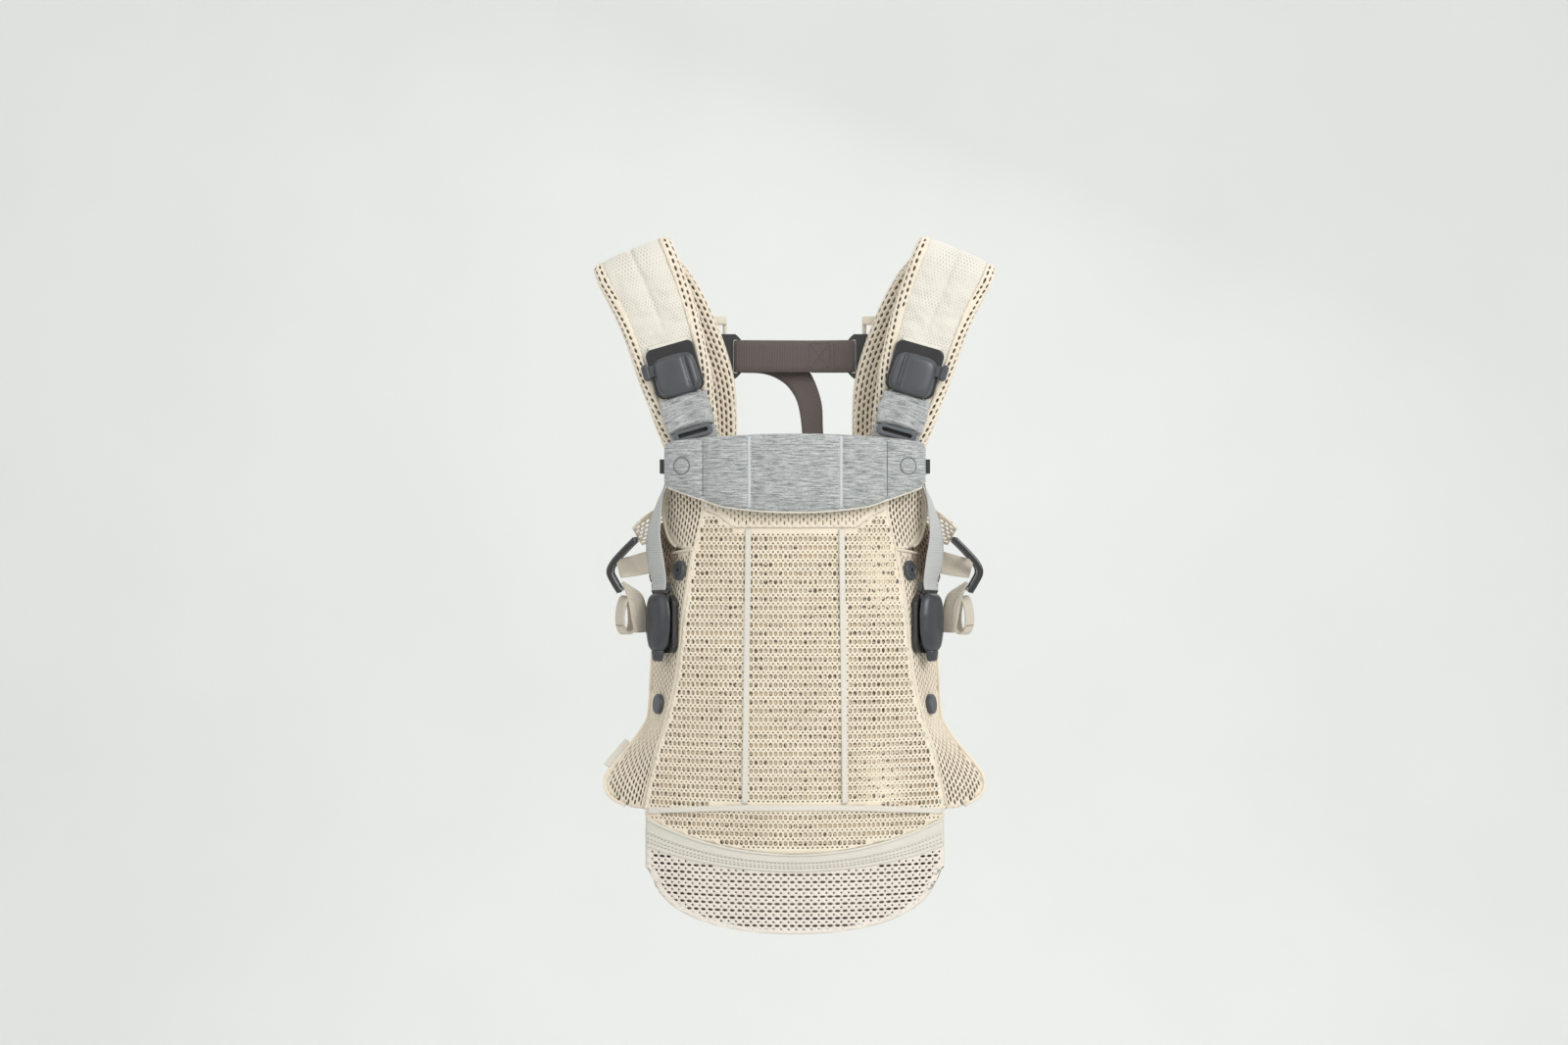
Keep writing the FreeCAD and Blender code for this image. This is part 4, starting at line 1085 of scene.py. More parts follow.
def strap_line():
    """Dense stations of the left strap: centre, direction across, outward normal, half width, length."""

    def leg(rows, forward, count):
        dense = spline([(*c, share, lean) for c, share, lean in rows], count)
        normal = np.tile([0, -forward, 0.0], (count, 1))
        return dense[:, :3], lean_vector(dense[:, 4]), normal, dense[:, 3] * STRAP_HALF

    crest_across = lean_vector(np.array(CREST_LEAN))
    up = np.array([-crest_across[2], 0, crest_across[0]])
    top = (tuple(CREST), 1.0, CREST_LEAN)
    front = leg(FRONT_LEG + [top], 1, 150)
    back = leg([top] + BACK_LEG, -1, 150)
    angle = np.linspace(0, math.pi, 42)[1:-1, None]
    fold_normal = np.array([0, -1.0, 0]) * np.cos(angle) + up * np.sin(angle)
    count = len(angle)
    fold = (np.tile(CREST, (count, 1)), np.tile(crest_across, (count, 1)), fold_normal,
        np.full(count, STRAP_HALF))
    parts = [np.concatenate(group) for group in zip(front, fold, back)]
    middle = parts[0] + parts[2] * 16.0
    length = np.concatenate([[0], np.cumsum(np.linalg.norm(np.diff(middle, axis=0), axis=1))])
    return parts, length


(LINE_C, LINE_A, LINE_N, LINE_H), LINE_LENGTH = strap_line()
STRAP_LENGTH = LINE_LENGTH[-1]


def along_strap(v, rows):
    return np.stack([np.interp(v, LINE_LENGTH, rows[:, i]) for i in range(3)], -1)


def strap_half(v):
    return np.interp(v, LINE_LENGTH, LINE_H)


def in_strap(p, r, v):
    """A point at p across the strap and r out from its fold line, v along it."""
    return along_strap(v, LINE_C) + along_strap(v, LINE_A) * p[..., None] + along_strap(v, LINE_N) * r[...,
        None]


EDGE_RADIUS = 5.6


def strap_section(inset=0.0):
    """The strap's padded cross section as a surface: u goes round it from the middle of its inner face."""
    radius = EDGE_RADIUS - inset

    def place(u, v):
        flat = strap_half(v) - EDGE_RADIUS - 0.4
        s = np.abs(u) - flat
        turn = np.clip(s / radius, 0, math.pi)
        p = np.where(s < 0, np.abs(u), flat + radius * np.sin(turn) - np.clip(s - math.pi * radius, 0, None))
        r = 15.1 - radius * np.cos(turn)
        return in_strap(np.sign(u) * p, r, v)

    return place


def straps():
    """Slotted mesh round the padding, and the plain face on top with its pressed centre crease."""
    place = strap_section()
    reach = lambda v: strap_half(v) - EDGE_RADIUS + math.pi * EDGE_RADIUS + 3.5
    limits = lambda u, v: (np.clip(u, -reach(v), reach(v)), np.clip(v, 0, STRAP_LENGTH))
    swapped_place, swapped = turned(place, limits)
    mesh = lattice(
        "strap_mesh_left_side", swapped_place, (-1, STRAP_LENGTH + 1, -56, 56), [(4.1, 2.2, 0.95)], 6.4,
            swapped, SLOT_CREAM,
        thick=1.7, skew=0.3, side=-1, slot="coarse_mesh",
    )
    for piece in both(mesh, "strap_mesh_{}"):
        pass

    inner = strap_section(1.9)
    count = 120
    v = np.linspace(1.5, STRAP_LENGTH - 1.5, count)
    share = np.linspace(-1, 1, 48, endpoint=False)
    radius = EDGE_RADIUS - 1.9
    around = (strap_half(v) - EDGE_RADIUS) + math.pi * radius + (strap_half(v) - EDGE_RADIUS)
    rings = np.stack([inner(share * a, np.full(48, w)) for a, w in zip(around, v)])
    core = sweep("strap_padding_left", in_strap(0 * v, 0 * v + 15.1, v), rings, FOAM, slot="foam")
    for piece in both(core, "strap_cores"):
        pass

    def face(u, v):
        return in_strap(u, 20.4 + 0 * u, v)

    def spread(a, b):
        v = 2 + b * (STRAP_LENGTH - 4)
        return (2 * a - 1) * (strap_half(v) - 8.2), v

    def thickness(a, b):
        t = 2 * a - 1
        crease = 2.2 * np.exp(-((t / 0.05) ** 2)) * np.clip((b - 0.26) / 0.05, 0,
            1) * np.clip((0.95 - b) / 0.05, 0, 1)
        return 0.5 + 2.3 * (1 - np.abs(t) ** 4) - crease

    crease = pad(
        "strap_face_left_side", face, spread, thickness, STRAP_KNIT, 25, 150, lines=(0.5,), pressure=6.0,
            cap=2.6, side=-1, slot="plain_knit"
    )
    for piece in both(crease, "strap_face_{}"):
        subdivide(piece)


straps()


# ------------------------------------------------------------------ head support


def grid_line(piece, columns, rows, column=None, row=None, offset=0.0):
    """Points in mm and outward normals along a column or row of a pad's front, moved by an offset."""
    index = np.arange(columns * rows).reshape(rows, columns)
    picked = index[:, column] if column is not None else index[row]
    vertices = piece.data.vertices
    points = np.array([vertices[int(i)].co for i in picked]) / MM
    normals = np.array([vertices[int(i)].normal for i in picked])
    side = unit(np.cross(np.gradient(points, axis=0), normals))
    return points + side * offset, normals


FLAP_RADIUS = 288.4
FLAP_COLUMNS, FLAP_ROWS = 121, 34
FLAP_SEAMS, FLAP_BENDS = (0.33, 0.67), (0.16, 0.84)
FLAP_HALF_WIDTH = 119.5
FLAP_TOP, FLAP_LOW = -163.5, -234.5
FLAP_THICK = 4.7
SNAP_X, SNAP_Z, SNAP_RING = 101.0, -192.5, 7.6


def head_support():
    """The padded jersey flap, quilted by two sewn welts, with sewn bends near its ends, along which thin dark
    lines are painted shade of the creases.
    """
    place = drum(FLAP_RADIUS)
    ends = arc(FLAP_HALF_WIDTH, FLAP_RADIUS)

    def spread(a, b):
        u = (2 * a - 1) * ends
        t = np.abs(2 * a - 1)
        corner = np.clip((t - 0.93) / 0.07, 0, 1) ** 3
        top = FLAP_TOP - 7.0 * t**2 - 6 * corner
        middle_rise = 5.5 * np.clip(t / 0.55, 0, 1) ** 2
        end_rise = 18.5 * np.clip((t - 0.55) / 0.45, 0, 1)
        low = FLAP_LOW + middle_rise + end_rise + 3.5 * corner
        return u, low + b * (top - low)

    def groove(t, at, width, depth):
        return 1 - depth * np.exp(-(((np.abs(t) - at) / width) ** 2))

    def thickness(a, b):
        t = 2 * a - 1
        edge = np.clip(1 - np.abs(t) ** 18, 0.12, 1) * np.clip(1 - np.abs(2 * b - 1) ** 8, 0.15, 1) ** 0.6
        return FLAP_THICK * edge * groove(t, 0.34, 0.025, 0.4) * groove(t, 0.68, 0.022, 0.55)

    piece = pad(
        "head_support_pad", place, spread, thickness, JERSEY, FLAP_COLUMNS, FLAP_ROWS,
        lines=FLAP_SEAMS + FLAP_BENDS, pressure=3.0, cap=1.8, body="head_support", slot="jersey",
    )
    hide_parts("head_support_face", "head_support_core")

    keep = dict(body="head_support", slot="jersey")
    for number, share in enumerate(FLAP_SEAMS):
        column = round(share * (FLAP_COLUMNS - 1))
        middle, normals = grid_line(piece, FLAP_COLUMNS, FLAP_ROWS, column=column)
        tube(f"head_support_welt_{number + 1}", middle[1:-1] + normals[1:-1] * 0.25, 1.5, WELT, 60, 8,
            flatten=0.5, **keep)
        lines = [grid_line(piece, FLAP_COLUMNS, FLAP_ROWS, column, offset=d) for d in (-2.3, 2.3)]
        rows = [(points + normals * 0.5, normals) for points, normals in lines]
        stitches(f"head_support_stitches_{number + 1}", rows, GREY_THREAD, 2.1, 1.0, 0.3, **keep)
    # Painted shade: a thin dark slate line along each bend stands for the shade in its crease.
    bends = [grid_line(piece, FLAP_COLUMNS, FLAP_ROWS, round(b * (FLAP_COLUMNS - 1))) for b in FLAP_BENDS]
    for number, (points, normals) in enumerate(bends):
        points = points[2:-2] + normals[2:-2] * 0.15
        tube(f"head_support_bend_{number + 1}", points, 0.55, SLATE_THREAD_AND_SHADE, 60, 6, **keep)
    edge, _ = grid_line(piece, FLAP_COLUMNS, FLAP_ROWS, row=0)
    back = np.array([piece.data.vertices[FLAP_COLUMNS * FLAP_ROWS + i].co for i in range(FLAP_COLUMNS)]) / MM
    tube("head_support_piping", (edge[2:-2] + back[2:-2]) / 2, 1.35, TAPE, 160, 8,
        body="head_support", slot="tape")
    subdivide(piece)

    turn = np.linspace(0, 2 * math.pi, 24, endpoint=False)
    middle = arc(-SNAP_X, FLAP_RADIUS)
    ring, normals = on_line(place, middle + SNAP_RING * np.cos(turn), SNAP_Z + SNAP_RING * np.sin(turn), 0)
    ring = settled(piece, ring, normals)
    both(tube("head_support_snap_ring_left", ring, 0.6, SLATE_THREAD_AND_SHADE, 48, 6, closed=True, **keep))
    on_drum, _ = on_line(place, middle + 0 * turn, SNAP_Z + 0 * turn, 0)
    height = np.mean(np.sum((ring - on_drum) * normals, -1))
    snap = disc("head_support_snap_left", SNAP_X, SNAP_Z, height)
    for made in both(snap, "head_support_snaps"):
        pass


def settled(piece, points, normals):
    """Points moved along their normals onto the front of a piece."""
    mesh = piece.data
    tree = BVHTree.FromPolygons([v.co for v in mesh.vertices], [p.vertices for p in mesh.polygons])
    found = []
    for point, normal in zip(points, normals):
        start = Vector((point + normal * 20.0) * MM)
        hit = tree.ray_cast(start, -Vector(normal))[0]
        found.append(np.array(hit) / MM if hit else point + normal * 5.0)
    return np.array(found)


def disc(name, x, z, height):
    """A press stud covered in the flap's jersey: a low dome in a pressed ring."""
    ring = [(0.0, 1.5), (1.5, 1.45), (3.2, 1.3), (4.8, 1.05), (5.9, 0.75), (6.5, 0.3), (6.8, -0.5),
        (7.1, -0.55), (7.5, 0.05), (8.0, -0.7), (8.0, -2.0)]
    place = drum(FLAP_RADIUS)
    middle = arc(-x, FLAP_RADIUS)
    turn = np.linspace(0, 2 * math.pi, 36, endpoint=False)
    verts, weave = [], []
    for r, lift in ring[1:]:
        u, v = middle + r * np.cos(turn), z + r * np.sin(turn)
        verts += (place(u, v) + surface_normals(place, u, v) * (height - 0.4 + lift)).tolist()
        weave += np.stack([u, v, 0 * u], 1).tolist()
    faces = grid_faces(len(ring) - 1, 36, closed=True).tolist()
    faces += [list(range(36))[::-1], list(range(len(verts) - 36, len(verts)))]
    made = mesh_object(name, verts, faces, JERSEY, weave=weave, body="head_support", slot="jersey")
    return outwards(made)


def fold_cloth():
    """The stretch cloth that the flap folds on, from the top of the panel to the flap's top edge."""
    path = np.array([(278.0, -186), (279.0, -178), (280.5, -172), (283.4, -169), (286.0, -171),
        (287.4, -175)])
    dense = spline(path, 24)
    rise = np.concatenate([[0], np.cumsum(np.linalg.norm(np.diff(dense, axis=0), axis=1))])

    def place(u, v):
        radius, z = np.interp(v, rise, dense[:, 0]), np.interp(v, rise, dense[:, 1])
        angle = u / 280.0
        return np.stack([radius * np.sin(angle), PANEL_AXIS_Y - radius * np.cos(angle),
            z - 2.2 * (u / 66.0) ** 2], -1)

    v, u = np.meshgrid(rise, np.linspace(-66, 66, 60), indexing="ij")
    piece = sheet_object("head_support_fold_cloth", place, u, v, 1.2, JERSEY, body=None, slot="jersey")
    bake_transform(piece)


head_support()
fold_cloth()


# ------------------------------------------------------------------ buckles

FRONT_FRAME = np.array([(-108.2, -22.9, -109.7), (0.96126, 0, 0.27564), (0, 1, 0), (-0.27564, 0, 0.96126)])
SIDE_FRAME = np.array([
    (-117.117, -12.615, -337.974),
    (0.5469, -0.8358, 0.04842),
    (0.8372, 0.54596, -0.03192),
    (0.00025, 0.05799, 0.99832),
])


def framed(buckle, points):
    """Points of a buckle's own frame, whose front faces -Y, in the carrier's frame."""
    return buckle[0] + np.asarray(points, float) @ buckle[1:]


def moulding(name, buckle, half, centre, back, outline, height, material, count=49, **keep):
    """A moulded cover: a rounded square of points whose front is lifted by height(a, b), closed at the back.

    outline(a, b) bends the square, with a and b from -1 to 1 across and up it.
    """
    line = np.sin(np.linspace(-1, 1, count) * math.pi / 2)
    b, a = np.meshgrid(line, line, indexing="ij")
    t = np.maximum(np.abs(a), np.abs(b))
    norm = (np.abs(a) ** 4.5 + np.abs(b) ** 4.5) ** (1 / 4.5)
    scale = np.where(norm > 1e-9, t / np.maximum(norm, 1e-9), 1)
    x, z = outline(a * scale, b * scale)
    edge = np.clip(1 - t**9, 0, 1) ** 0.45
    y = back - height(a * scale, b * scale) * edge
    points = np.stack([centre[0] + half[0] * x, y, centre[1] + half[1] * z], -1).reshape(-1, 3)
    faces = grid_faces(count, count)
    index = np.arange(count * count).reshape(count, count)
    loop = np.concatenate([index[0, :-1], index[:-1, -1], index[-1, :0:-1], index[:0:-1, 0]])
    made = mesh_object(name, framed(buckle, points), faces.tolist() + [loop[::-1].tolist()], material, **keep)
    return outwards(made)


def front_cover():
    """The crowned cover of a front buckle, with a rounded bar down its inner side."""

    def height(a, b):
        body = 8.6 + 2.6 * np.clip(1 - (np.abs(a + 0.2) / 0.95) ** 2.2, 0, 1) - 1.3 * b
        bar = 3.2 * np.exp(-(((a - 0.80) / 0.17) ** 4))
        valley = -1.7 * np.exp(-(((a - 0.52) / 0.09) ** 2))
        lip = 0.8 * np.exp(-(((b + 0.93) / 0.06) ** 2)) - 0.9 * np.exp(-(((b - 0.86) / 0.06) ** 2))
        return body + bar + valley + lip

    def outline(a, b):
        return a * (1 - 0.03 * b), b * (1 + 0.05 * np.cos(a * 1.3)) - 0.02

    cover = moulding("front_buckle_shell_left", FRONT_FRAME, (20.5, 18.4), (0.2, 1.4), -4.3, outline,
        height, SLATE, slot="slate_plastic")
    both(cover, "front_buckle_covers")


def side_cover():
    """The barrel-shaped cover of a side buckle, narrower towards its button."""

    def height(a, b):
        round_across = np.clip(1 - np.abs(a * 0.96) ** 2.3, 0, 1) ** 0.62
        ridge = 1.0 * np.exp(-(((a + 0.34) / 0.10) ** 2)) * np.clip(1 - b**2, 0, 1)
        return 1.4 + 7.3 * round_across * (1 - 0.16 * b**2) + ridge

    def outline(a, b):
        waist = np.interp(b, [-1, -0.78, -0.3, 0.25, 0.7, 1], [0.55, 0.80, 1.0, 1.03, 0.93, 0.80])
        return a * waist, b

    cover = moulding("side_buckle_shell_left", SIDE_FRAME, (19.0, 27.4), (0, 1.5), -9.2, outline, height,
        DEEP_SLATE, slot="slate_plastic")
    both(cover, "side_buckle_covers")


def side_button():
    """The push button at the foot of a side buckle."""

    def height(a, b):
        return 3.0 + 3.2 * np.clip(1 - a**2, 0, 1) ** 0.6 + 0.5 * b

    button = moulding(
        "side_buckle_push_left", SIDE_FRAME, (7.4, 5.6), (0, -28.6), -9.1, lambda a,
            b: (a * (1 + 0.12 * b), b), height, DEEP_SLATE, 33,
        body="side_button_left", slot="slate_plastic",
    )
    both(button, "side_buckle_button_{}")


def side_adjusters():
    """Ladder locks: two bent side rails joined by three cross bars."""
    bend = [(-147.5, -259.5), (-158.5, -270.5), (-168.0, -281.5), (-171.0, -290.0), (-167.0, -299.0),
        (-161.5, -308.0)]
    keep = dict(body="side_adjuster_left", slot="dark_plastic")
    for name, y in (("front", -12.8), ("back", 12.8)):
        rail = ribbon(f"side_adjuster_rail_{name}_left", [((x, y, z), (0, 3.2, 0)) for x, z in bend], 5.8,
            BLACK, 60, **keep)
        both(rail, *(["side_adjuster_{}"] if name == "front" else []))
    for name, (x, z), radius in (("top", bend[0], 2.3), ("upper", (-161.5, -273.6), 1.9),
        ("middle", bend[3], 2.2), ("low", (-162.4, -306.6), 2.4)):
        points = [(x, y, z) for y in np.linspace(-11, 11, 8)]
        both(tube(f"side_adjuster_bar_{name}_left", points, radius, BLACK, 12, 10, **keep))


front_cover()
side_cover()
side_button()
side_adjusters()


# ------------------------------------------------------------------ jersey sleeves on the straps


SLEEVE_TOP, SLEEVE_HEM, SLEEVE_LOW = -19.0, -46.0, -49.0
SLEEVE_Y = -7.2


def sleeve():
    """The jersey sleeve of a front buckle, gathered a little, with a hem above its tri-glide."""
    count, around = 26, 56
    z = np.linspace(SLEEVE_TOP, SLEEVE_LOW, count)
    turn = np.linspace(0, 2 * math.pi, around, endpoint=False)
    rings = []
    for i, height in enumerate(z):
        end = min(i, count - 1 - i) / 2.0
        hem = 0.7 * math.exp(-(((height - SLEEVE_HEM) / 1.6) ** 2))
        half_x = 22.6 + 0.6 * math.sin(height / 3.1) + 0.4 * hem
        half_y = (3.5 + hem) * min(1.0, 0.45 + 0.55 * end)
        across, out = np.cos(turn), np.sin(turn)
        folds = 0.38 * np.sin(across * 8.0 + height / 4.5) + 0.25 * np.sin(across * 15.0 - height / 3.0)
        x = half_x * np.sign(across) * np.abs(across) ** 0.55
        y = SLEEVE_Y - half_y * np.sign(out) * np.abs(out) ** 0.75 - folds * (out > 0.2)
        rings.append(framed(FRONT_FRAME,
            np.stack([x, y, np.full(around, height) + 1.1 * np.cos(x / 9.0)], -1)))
    rings = np.array(rings)
    made = sweep("buckle_sleeve_left", rings.mean(1), rings, JERSEY, body="front_tongue_left", slot="jersey")
    for piece in both(made, "buckle_tab_{}"):
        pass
    hem = framed(FRONT_FRAME,
        [(x, -11.1 - 0.2 * math.cos(x), -44.6 + 1.1 * math.cos(x / 9.0)) for x in np.linspace(-20, 20, 30)])
    front = np.tile(-FRONT_FRAME[2], (30, 1))
    row = stitches("buckle_sleeve_stitches_left", [(hem, front)], GREY_THREAD, 1.9, 1.0, 0.25, lift=0.3,
        body="front_tongue_left", slot="jersey")
    both(row)

    web = [framed(FRONT_FRAME, [(0, -5.2, z)])[0] for z in (-51.0, -56.0, -61.0)]
    stations = [(c, FRONT_FRAME[1] * 21.5) for c in web] + [((-93.0, -24.4, -180), (20, 0, 2.4)),
        ((-91.5, -25.0, -196), (17, 0, 1))]
    corner = ribbon("corner_strap_left", stations, 2.6, JERSEY, 40, body=None, slot="jersey")
    for piece in crossing(corner, stations[-2][0], web[0]):
        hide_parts("corner_tabs")

    # Painted shade: a black strip behind each tri-glide's window stands for the shade inside it.
    back = [(framed(FRONT_FRAME, [(0, -6.1, z)])[0], FRONT_FRAME[1] * 18.5) for z in (-48.0, -54.0, -60.0)]
    web = ribbon("tri_glide_web_left", back, 1.0, BLACK_ELASTIC_AND_SHADE, 16, body="front_tongue_left",
        slot="dark_webbing")
    for piece in both(web):
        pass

    loop = framed(FRONT_FRAME, [(0, -3.2, 29.6), (0, -2.6, 31.6), (0, -0.9, 32.8)])
    anchor = ribbon("anchor_strap_left", [(c, FRONT_FRAME[1] * 18.5) for c in loop], 1.2, TAPE, 24,
        slot="tape")
    for piece in both(anchor, "anchor_webbing"):
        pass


sleeve()


# ------------------------------------------------------------------ webbing and small cloth parts


def side_webs():
    """The webbings that hang from the height adjusters down to the side buckles."""
    half = 12.5
    mouth, eye = framed(SIDE_FRAME, [(0, -10.2, 31.5), (0, -9.6, 40.5)])
    stations = [
        (mouth, SIDE_FRAME[1] * half),
        (eye, SIDE_FRAME[1] * half),
        ((-128.5, -18.0, -279.0), (half * 0.66, -half * 0.75, 0)),
        ((-130.0, -19.0, -254.0), (half * 0.50, -half * 0.87, 0)),
        ((-125.5, -15.5, -229.0), (half * 0.26, -half * 0.97, 0)),
        ((-118.8, -12.2, -206.0), (0, -half, 0)),
    ]
    web = ribbon("side_web_left", stations, 1.5, GREY_WEBBING, 80, body=None, slot="grey_webbing")
    webs = crossing(web, stations[-1][0], eye)
    for piece, side in zip(webs, ("left", "right")):
        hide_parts("side_webbing_" + side)


def adjuster_webs():
    """The webbing through each side adjuster, and the strap that holds the adjuster to the carrier."""
    run = [
        ((-160.0, 0, -299.5), (0, 10, 0)),
        ((-155.5, -1, -303.0), (3, 9, -1)),
        ((-149.0, -2, -311.0), (6.5, 7, 0)),
        ((-145.5, -2, -323.0), (7.5, 5.5, 0)),
        ((-143.5, -1, -335.0), (7.5, 5.5, 0)),
        ((-141.5, 1, -346.0), (7, 6, 0)),
    ]
    web = ribbon("adjuster_web_left", run, 1.6, BEIGE_WEBBING, 50, slot="tape")
    for piece in both(web, "adjuster_webbing"):
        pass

    run = [((-164.0, 0, -287.0), (-3, 8, 8)), ((-151.0, 3, -284.5), (-3, 7, 9)),
        ((-137.0, 6, -281.0), (-2, 6, 10))]
    web = ribbon("adjuster_strap_left", run, 1.6, BEIGE_WEBBING, 30, slot="tape")
    for piece in both(web):
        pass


def finger_loops():
    """The sewn loops at the ends of the adjusters' webbings."""
    turn = np.linspace(0, 2 * math.pi, 24, endpoint=False)
    loop = []
    for t in turn:
        out = (6.4 - 1.2 * math.sin(t)) * math.cos(t)
        loop.append(((-156.5 + 0.86 * out, 0.5 * out, -330 + 17.1 * math.sin(t)),
            (-4.4, 7.6, 0.5 * math.sin(t))))
    web = ribbon("finger_loop_web_left", loop, 1.8, BEIGE_WEBBING, 96, closed=True, slot="tape")
    for piece in both(web, "finger_loop_{}"):
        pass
    rows = []
    for z in (-343.2, -341.2, -339.4):
        t = np.linspace(-0.92, 0.92, 12)
        foot = np.array([-156.5 - 0.86 * 6.9 + (-339.4 - z) * 0.7, -0.5 * 6.9, z])
        rows.append((foot + t[:, None] * np.array([-4.4, 7.6, 0.0]), np.tile([-0.86, -0.5, 0.0], (12, 1))))
    both(stitches("finger_loop_stitches_left", rows, BROWN_THREAD, 1.9, 0.5, 0.42, slot="tape"))


def strap_tails():
    """The slotted mesh tails that run from the back legs to the side adjusters."""
    centres = [(-88, 35, -199), (-97, 33, -222), (-112, 27, -238), (-131, 15, -249), (-146, 3, -257)]
    widths = [(29, 0, 0), (21, -1, -10), (10, 2, -13), (7, 6, -12), (3, 10, -8)]
    dense = spline([c + w for c, w in zip(centres, widths)], 80)
    rise = np.concatenate([[0], np.cumsum(np.linalg.norm(np.diff(dense[:, :3], axis=0), axis=1))])

    def place(u, v):
        row = np.stack([np.interp(v, rise, dense[:, i]) for i in range(6)], -1)
        half = np.linalg.norm(row[..., 3:], axis=-1)
        return row[..., :3] + row[..., 3:] * (u / half)[..., None]

    def half_width(v):
        return np.linalg.norm(np.stack([np.interp(v, rise, dense[:, i]) for i in (3, 4, 5)], -1), axis=-1)

    limits = lambda u, v: (np.clip(u, -half_width(v), half_width(v)), np.clip(v, 0, rise[-1]))
    swapped_place, swapped = turned(place, limits)
    tail = lattice(
        "strap_tail_mesh_left", swapped_place, (-1, rise[-1] + 1, -31, 31), SIDE_ROWS, SIDE_PITCH, swapped,
        SLOT_CREAM, thick=2.4, skew=0.25, slot="coarse_mesh",
    )
    for piece in both(tail, "strap_tails"):
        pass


def wing_tab():
    """The small beige tab on one leg wing."""
    tab = [((-155.4, 21.5, -449.5), (-3.6, 0, 3)), ((-165.4, 21.0, -461.0), (-3.6, 0, 3)),
        ((-175.4, 19.5, -473.0), (-3.6, 0, 3))]
    web = ribbon("wing_tab", tab, 1.4, TAPE, 20, slot="tape")
    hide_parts("woven_tapes")


def cross_strap():
    """One webbing folded round both runners, sewn to itself with a crossed box, and its free tail."""
    flat = (0, 0, 15)
    stations = [((16, 43, -87), flat), ((50, 43, -87), flat), ((56, 40.5, -87), flat),
        ((56, 33.5, -87), flat), ((50, 31.4, -87), flat)]
    stations += [((20, 31.2, -87.3), flat), ((-16, 31.2, -87.2), flat)]
    stations += [((-50, 31.4, -87), flat), ((-56, 33.5, -87), flat), ((-56, 40.5, -87), flat),
        ((-50, 43.3, -87), flat), ((-30, 43.6, -88), flat)]
    stations += [
        ((-12, 43.2, -94), (4, 0, 14)),
        ((4, 42, -108), (9, 1, 9)),
        ((14, 40, -130), (11, 2, 2)),
        ((17, 38, -158), (10, 3, 0)),
        ((18, 37, -189), (11, 2, 0)),
    ]
    web = ribbon("cross_web", stations, 1.7, DARK_WEBBING, 260, body="cross_strap", slot="dark_webbing")
    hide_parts("cross_strap")
    x0, x1, z0, z1 = 14.0, 33.0, -99.5, -75.0
    corners = [(x0, z0), (x1, z0), (x1, z1), (x0, z1)]
    lines = [(corners[i], corners[(i + 1) % 4]) for i in range(4)]
    lines += [(corners[0], corners[2]), (corners[1], corners[3])]
    lines += [((37.5, -100.5), (37.5, -73.5))]
    rows = []
    for (xa, za), (xb, zb) in lines:
        t = np.linspace(0, 1, 14)
        rows.append((np.stack([xa + (xb - xa) * t, 30.3 + 0 * t, za + (zb - za) * t], -1),
            np.tile([0, -1.0, 0], (14, 1))))
    stitches("cross_web_stitches", rows, DARK_THREAD, 2.0, 0.6, 0.36, body="cross_strap", slot="dark_webbing")


def belt_back():
    """The belt's webbings behind the waist, and the left one's spare length rolled up in its keeper."""
    half = (0, 0, 19)
    y, level, thick = 63.2, -545, 1.6
    run = [((x, y - sag, level), half) for x, sag in ((-92, 0), (-64, 0.2), (-36.5, 0))]
    left = ribbon("belt_web_left", run, thick, DARK_WEBBING, 30, slot="dark_webbing")
    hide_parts("belt_webbing_left")
    run = [((x, y - sag, level), half) for x, sag in ((41, 0), (66, 0.2), (88, 0))]
    right = ribbon("belt_web_right", run, thick, DARK_WEBBING, 30, body="belt_tongue", slot="dark_webbing")
    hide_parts("belt_webbing_right")
    reel_x, turns, first_radius, pitch = -82, 3.2, 1.6, 1.55
    roll = []
    for t in np.linspace(0, turns * 2 * math.pi, 40):
        radius = first_radius + pitch * t / 6.283
        roll.append(((reel_x + radius * math.cos(t), 71.3 + radius * math.sin(t), level), (0, 0, 18.7)))
    coil = ribbon("belt_tail_coil", roll, 1.2, DARK_WEBBING, 150, slot="dark_webbing")
    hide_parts("belt_tail_roll")
    turn = np.linspace(0, 2 * math.pi, 20, endpoint=False)
    keeper = [((reel_x + 8.0 * math.cos(t), 70.6 + 8.2 * math.sin(t), level), (0, 0, 5)) for t in turn]
    band = ribbon("belt_tail_keeper", keeper, 1.0, BLACK_ELASTIC_AND_SHADE, 60, closed=True, slot="dark_webbing")


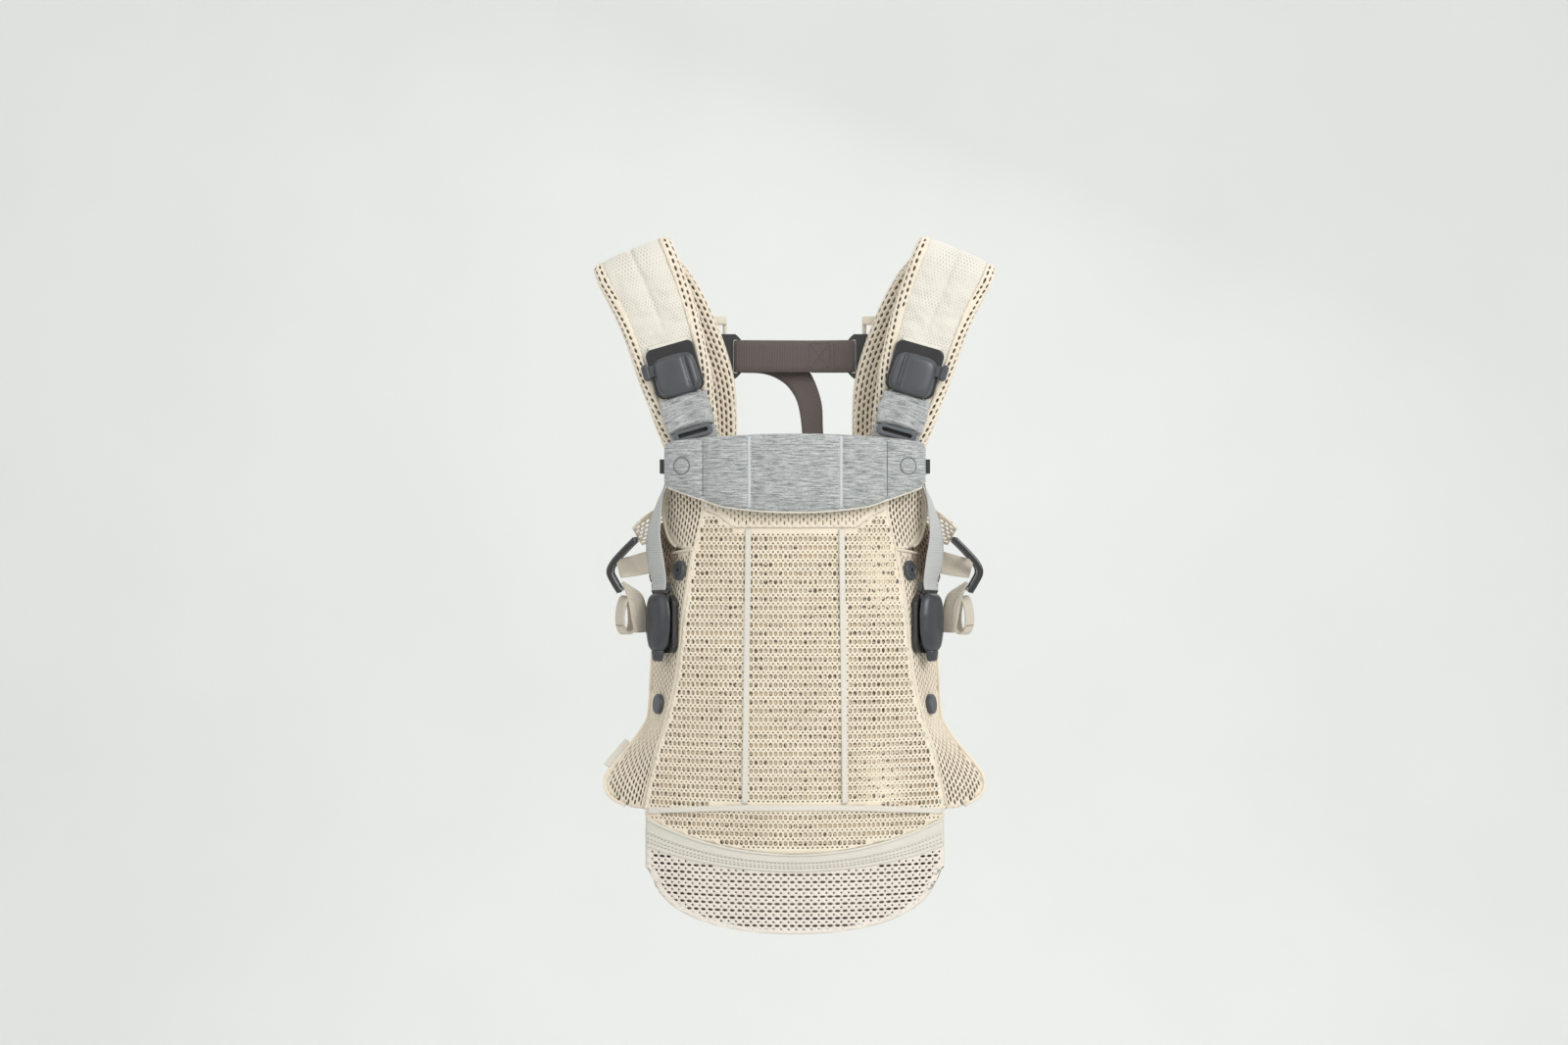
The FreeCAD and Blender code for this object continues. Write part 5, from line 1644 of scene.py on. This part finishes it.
def belt_wings():
    """The padded ends of the belt: slotted mesh outside, plain cloth inside, and bound edges."""
    rows = [
        (-132.6, -14.5, -544.0, 18.5),
        (-132.6, 12.0, -546.0, 22.0),
        (-129.0, 34.0, -547.0, 23.0),
        (-118.0, 50.0, -547.0, 23.0),
        (-100.0, 55.0, -546.0, 22.5),
        (-52.0, 55.0, -545.0, 21.0),
    ]
    dense = spline(rows, 90)
    rise = np.concatenate([[0], np.cumsum(np.linalg.norm(np.diff(dense[:, :3], axis=0), axis=1))])
    along = unit(np.gradient(dense[:, :3], axis=0))
    out = unit(np.cross(along, np.tile([0, 0, 1.0], (len(dense), 1))))
    if out[0, 0] > 0:
        out = -out

    def surface(depth):
        def place(u, v):
            at = np.stack([np.interp(v, rise, dense[:, i]) for i in range(3)], -1)
            normal = np.stack([np.interp(v, rise, out[:, i]) for i in range(3)], -1)
            return at + normal * depth + np.stack([0 * u, 0 * u, u], -1)

        return place

    half = lambda v: np.interp(v, rise, dense[:, 3]) - 0.8
    limits = lambda u, v: (np.clip(u, -half(v), half(v)), np.clip(v, 0, rise[-1]))
    swapped_place, swapped = turned(surface(5.3), limits)
    probe = surface_normals(swapped_place, np.array([20.0]), np.array([0.0]))[0]
    mesh = lattice(
        "belt_wing_mesh_left", swapped_place, (-1, rise[-1] + 1, -27, 27), BELT_ROWS, BELT_PITCH, swapped,
        SLOT_CREAM, thick=1.8, side=1 if probe[0] < 0 else -1, slot="coarse_mesh",
    )
    for piece in both(mesh, "belt_wing_{}"):
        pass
    turn = np.linspace(0, 2 * math.pi, 40, endpoint=False)
    rings = []
    for i in range(len(dense)):
        cosine, sine = np.cos(turn), np.sin(turn)
        end = min(1.0, 0.55 + min(i, len(dense) - 1 - i) / 5.0)
        thick = 3.4 * end * np.sign(cosine) * np.abs(cosine) ** 0.35
        tall = (dense[i, 3] - 0.3) * np.sign(sine) * np.abs(sine) ** 0.6
        rings.append(dense[i, :3] + out[i] * thick[:, None] + np.array([0, 0, 1.0]) * tall[:, None])
    core = sweep("belt_wing_padding_left", dense[:, :3], np.array(rings), PIQUE, slot="plain_knit")
    for piece in both(core):
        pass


side_webs()
adjuster_webs()
finger_loops()
strap_tails()
wing_tab()
cross_strap()
belt_back()
belt_wings()


# ------------------------------------------------------------------ hard parts

HARD = {
    SLATE: [
        "front_buckle_button_left", "front_buckle_button_right", "press_studs", "snap_sockets",
        "belt_buckle_housing", "belt_buckle_button",
    ],
    BLACK: [
        "front_buckle_bases", "side_buckle_backs", "front_buckle_tongue_left", "front_buckle_tongue_right",
        "side_buckle_tongue_left", "side_buckle_tongue_right",
        "height_adjusters", "cross_strap_runners", "belt_buckle_tongue",
    ],
    CREAM_PLASTIC: ["strap_rails"],
    GLIDE: ["tri_glide_left", "tri_glide_right"],
}


def paint_hard_parts():
    """Gives the hard CAD parts their plastics."""
    for material, names in HARD.items():
        for name in names:
            part = frame["nodes"][name]
            part.data.materials.clear()
            part.data.materials.append(material)


paint_hard_parts()


# ------------------------------------------------------------------ studio


def studio():
    """A plain pale backdrop far behind, soft light from both sides, and the camera."""
    scene = bpy.context.scene
    world = bpy.data.worlds.new("studio")
    world.use_nodes = True
    world.node_tree.nodes["Background"].inputs["Color"].default_value = (0.96, 0.965, 0.95, 1)
    world.node_tree.nodes["Background"].inputs["Strength"].default_value = 0.72
    scene.world = world
    scene.view_settings.view_transform = "Standard"

    reach, floor, back, radius, top = 6000, -1600, 1600, 1000, 3500
    profile = [(-reach, floor)]
    for t in np.linspace(0, math.pi / 2, 12):
        profile.append((back + radius * math.sin(t), floor + radius - radius * math.cos(t)))
    profile.append((back + radius, top))
    verts = [(x, y, z) for y, z in profile for x in (-reach, reach)]
    faces = [[2 * i, 2 * i + 1, 2 * i + 3, 2 * i + 2] for i in range(len(profile) - 1)]
    backdrop_paint = Shader("backdrop_paint", 0.9)
    grain = backdrop_paint.noise(backdrop_paint.place(), 3.0)
    backdrop_paint.colour(backdrop_paint.ramp(grain, (0.3, (0.825, 0.835, 0.82)),
        (0.7, (0.845, 0.855, 0.84))))
    backdrop = mesh_object("backdrop", verts, faces, backdrop_paint.material, body=None)

    aim = Vector((0, 0, -0.3))
    for name, place, size, power in (
        ("key", (1.5, -1.8, 0.9), 1.4, 40),
        ("fill", (-1.9, -1.7, 0.9), 2.2, 15),
        ("rim", (0.6, 1.6, 1.4), 1.4, 18),
    ):
        data = bpy.data.lights.new(name, "AREA")
        data.size, data.energy = size, power
        light = bpy.data.objects.new(name, data)
        light.location = place
        light.rotation_euler = (aim - Vector(place)).to_track_quat("-Z", "Y").to_euler()
        scene.collection.objects.link(light)

    data = bpy.data.cameras.new("camera")
    data.lens, data.sensor_width = 51.9, 36.0
    data.clip_start, data.clip_end = 0.05, 40
    camera = bpy.data.objects.new("camera", data)
    camera.location = (-0.010, -2.100, -0.2439)
    camera.rotation_euler = (math.pi / 2, 0, 0)
    scene.collection.objects.link(camera)
    scene.camera = camera


studio()
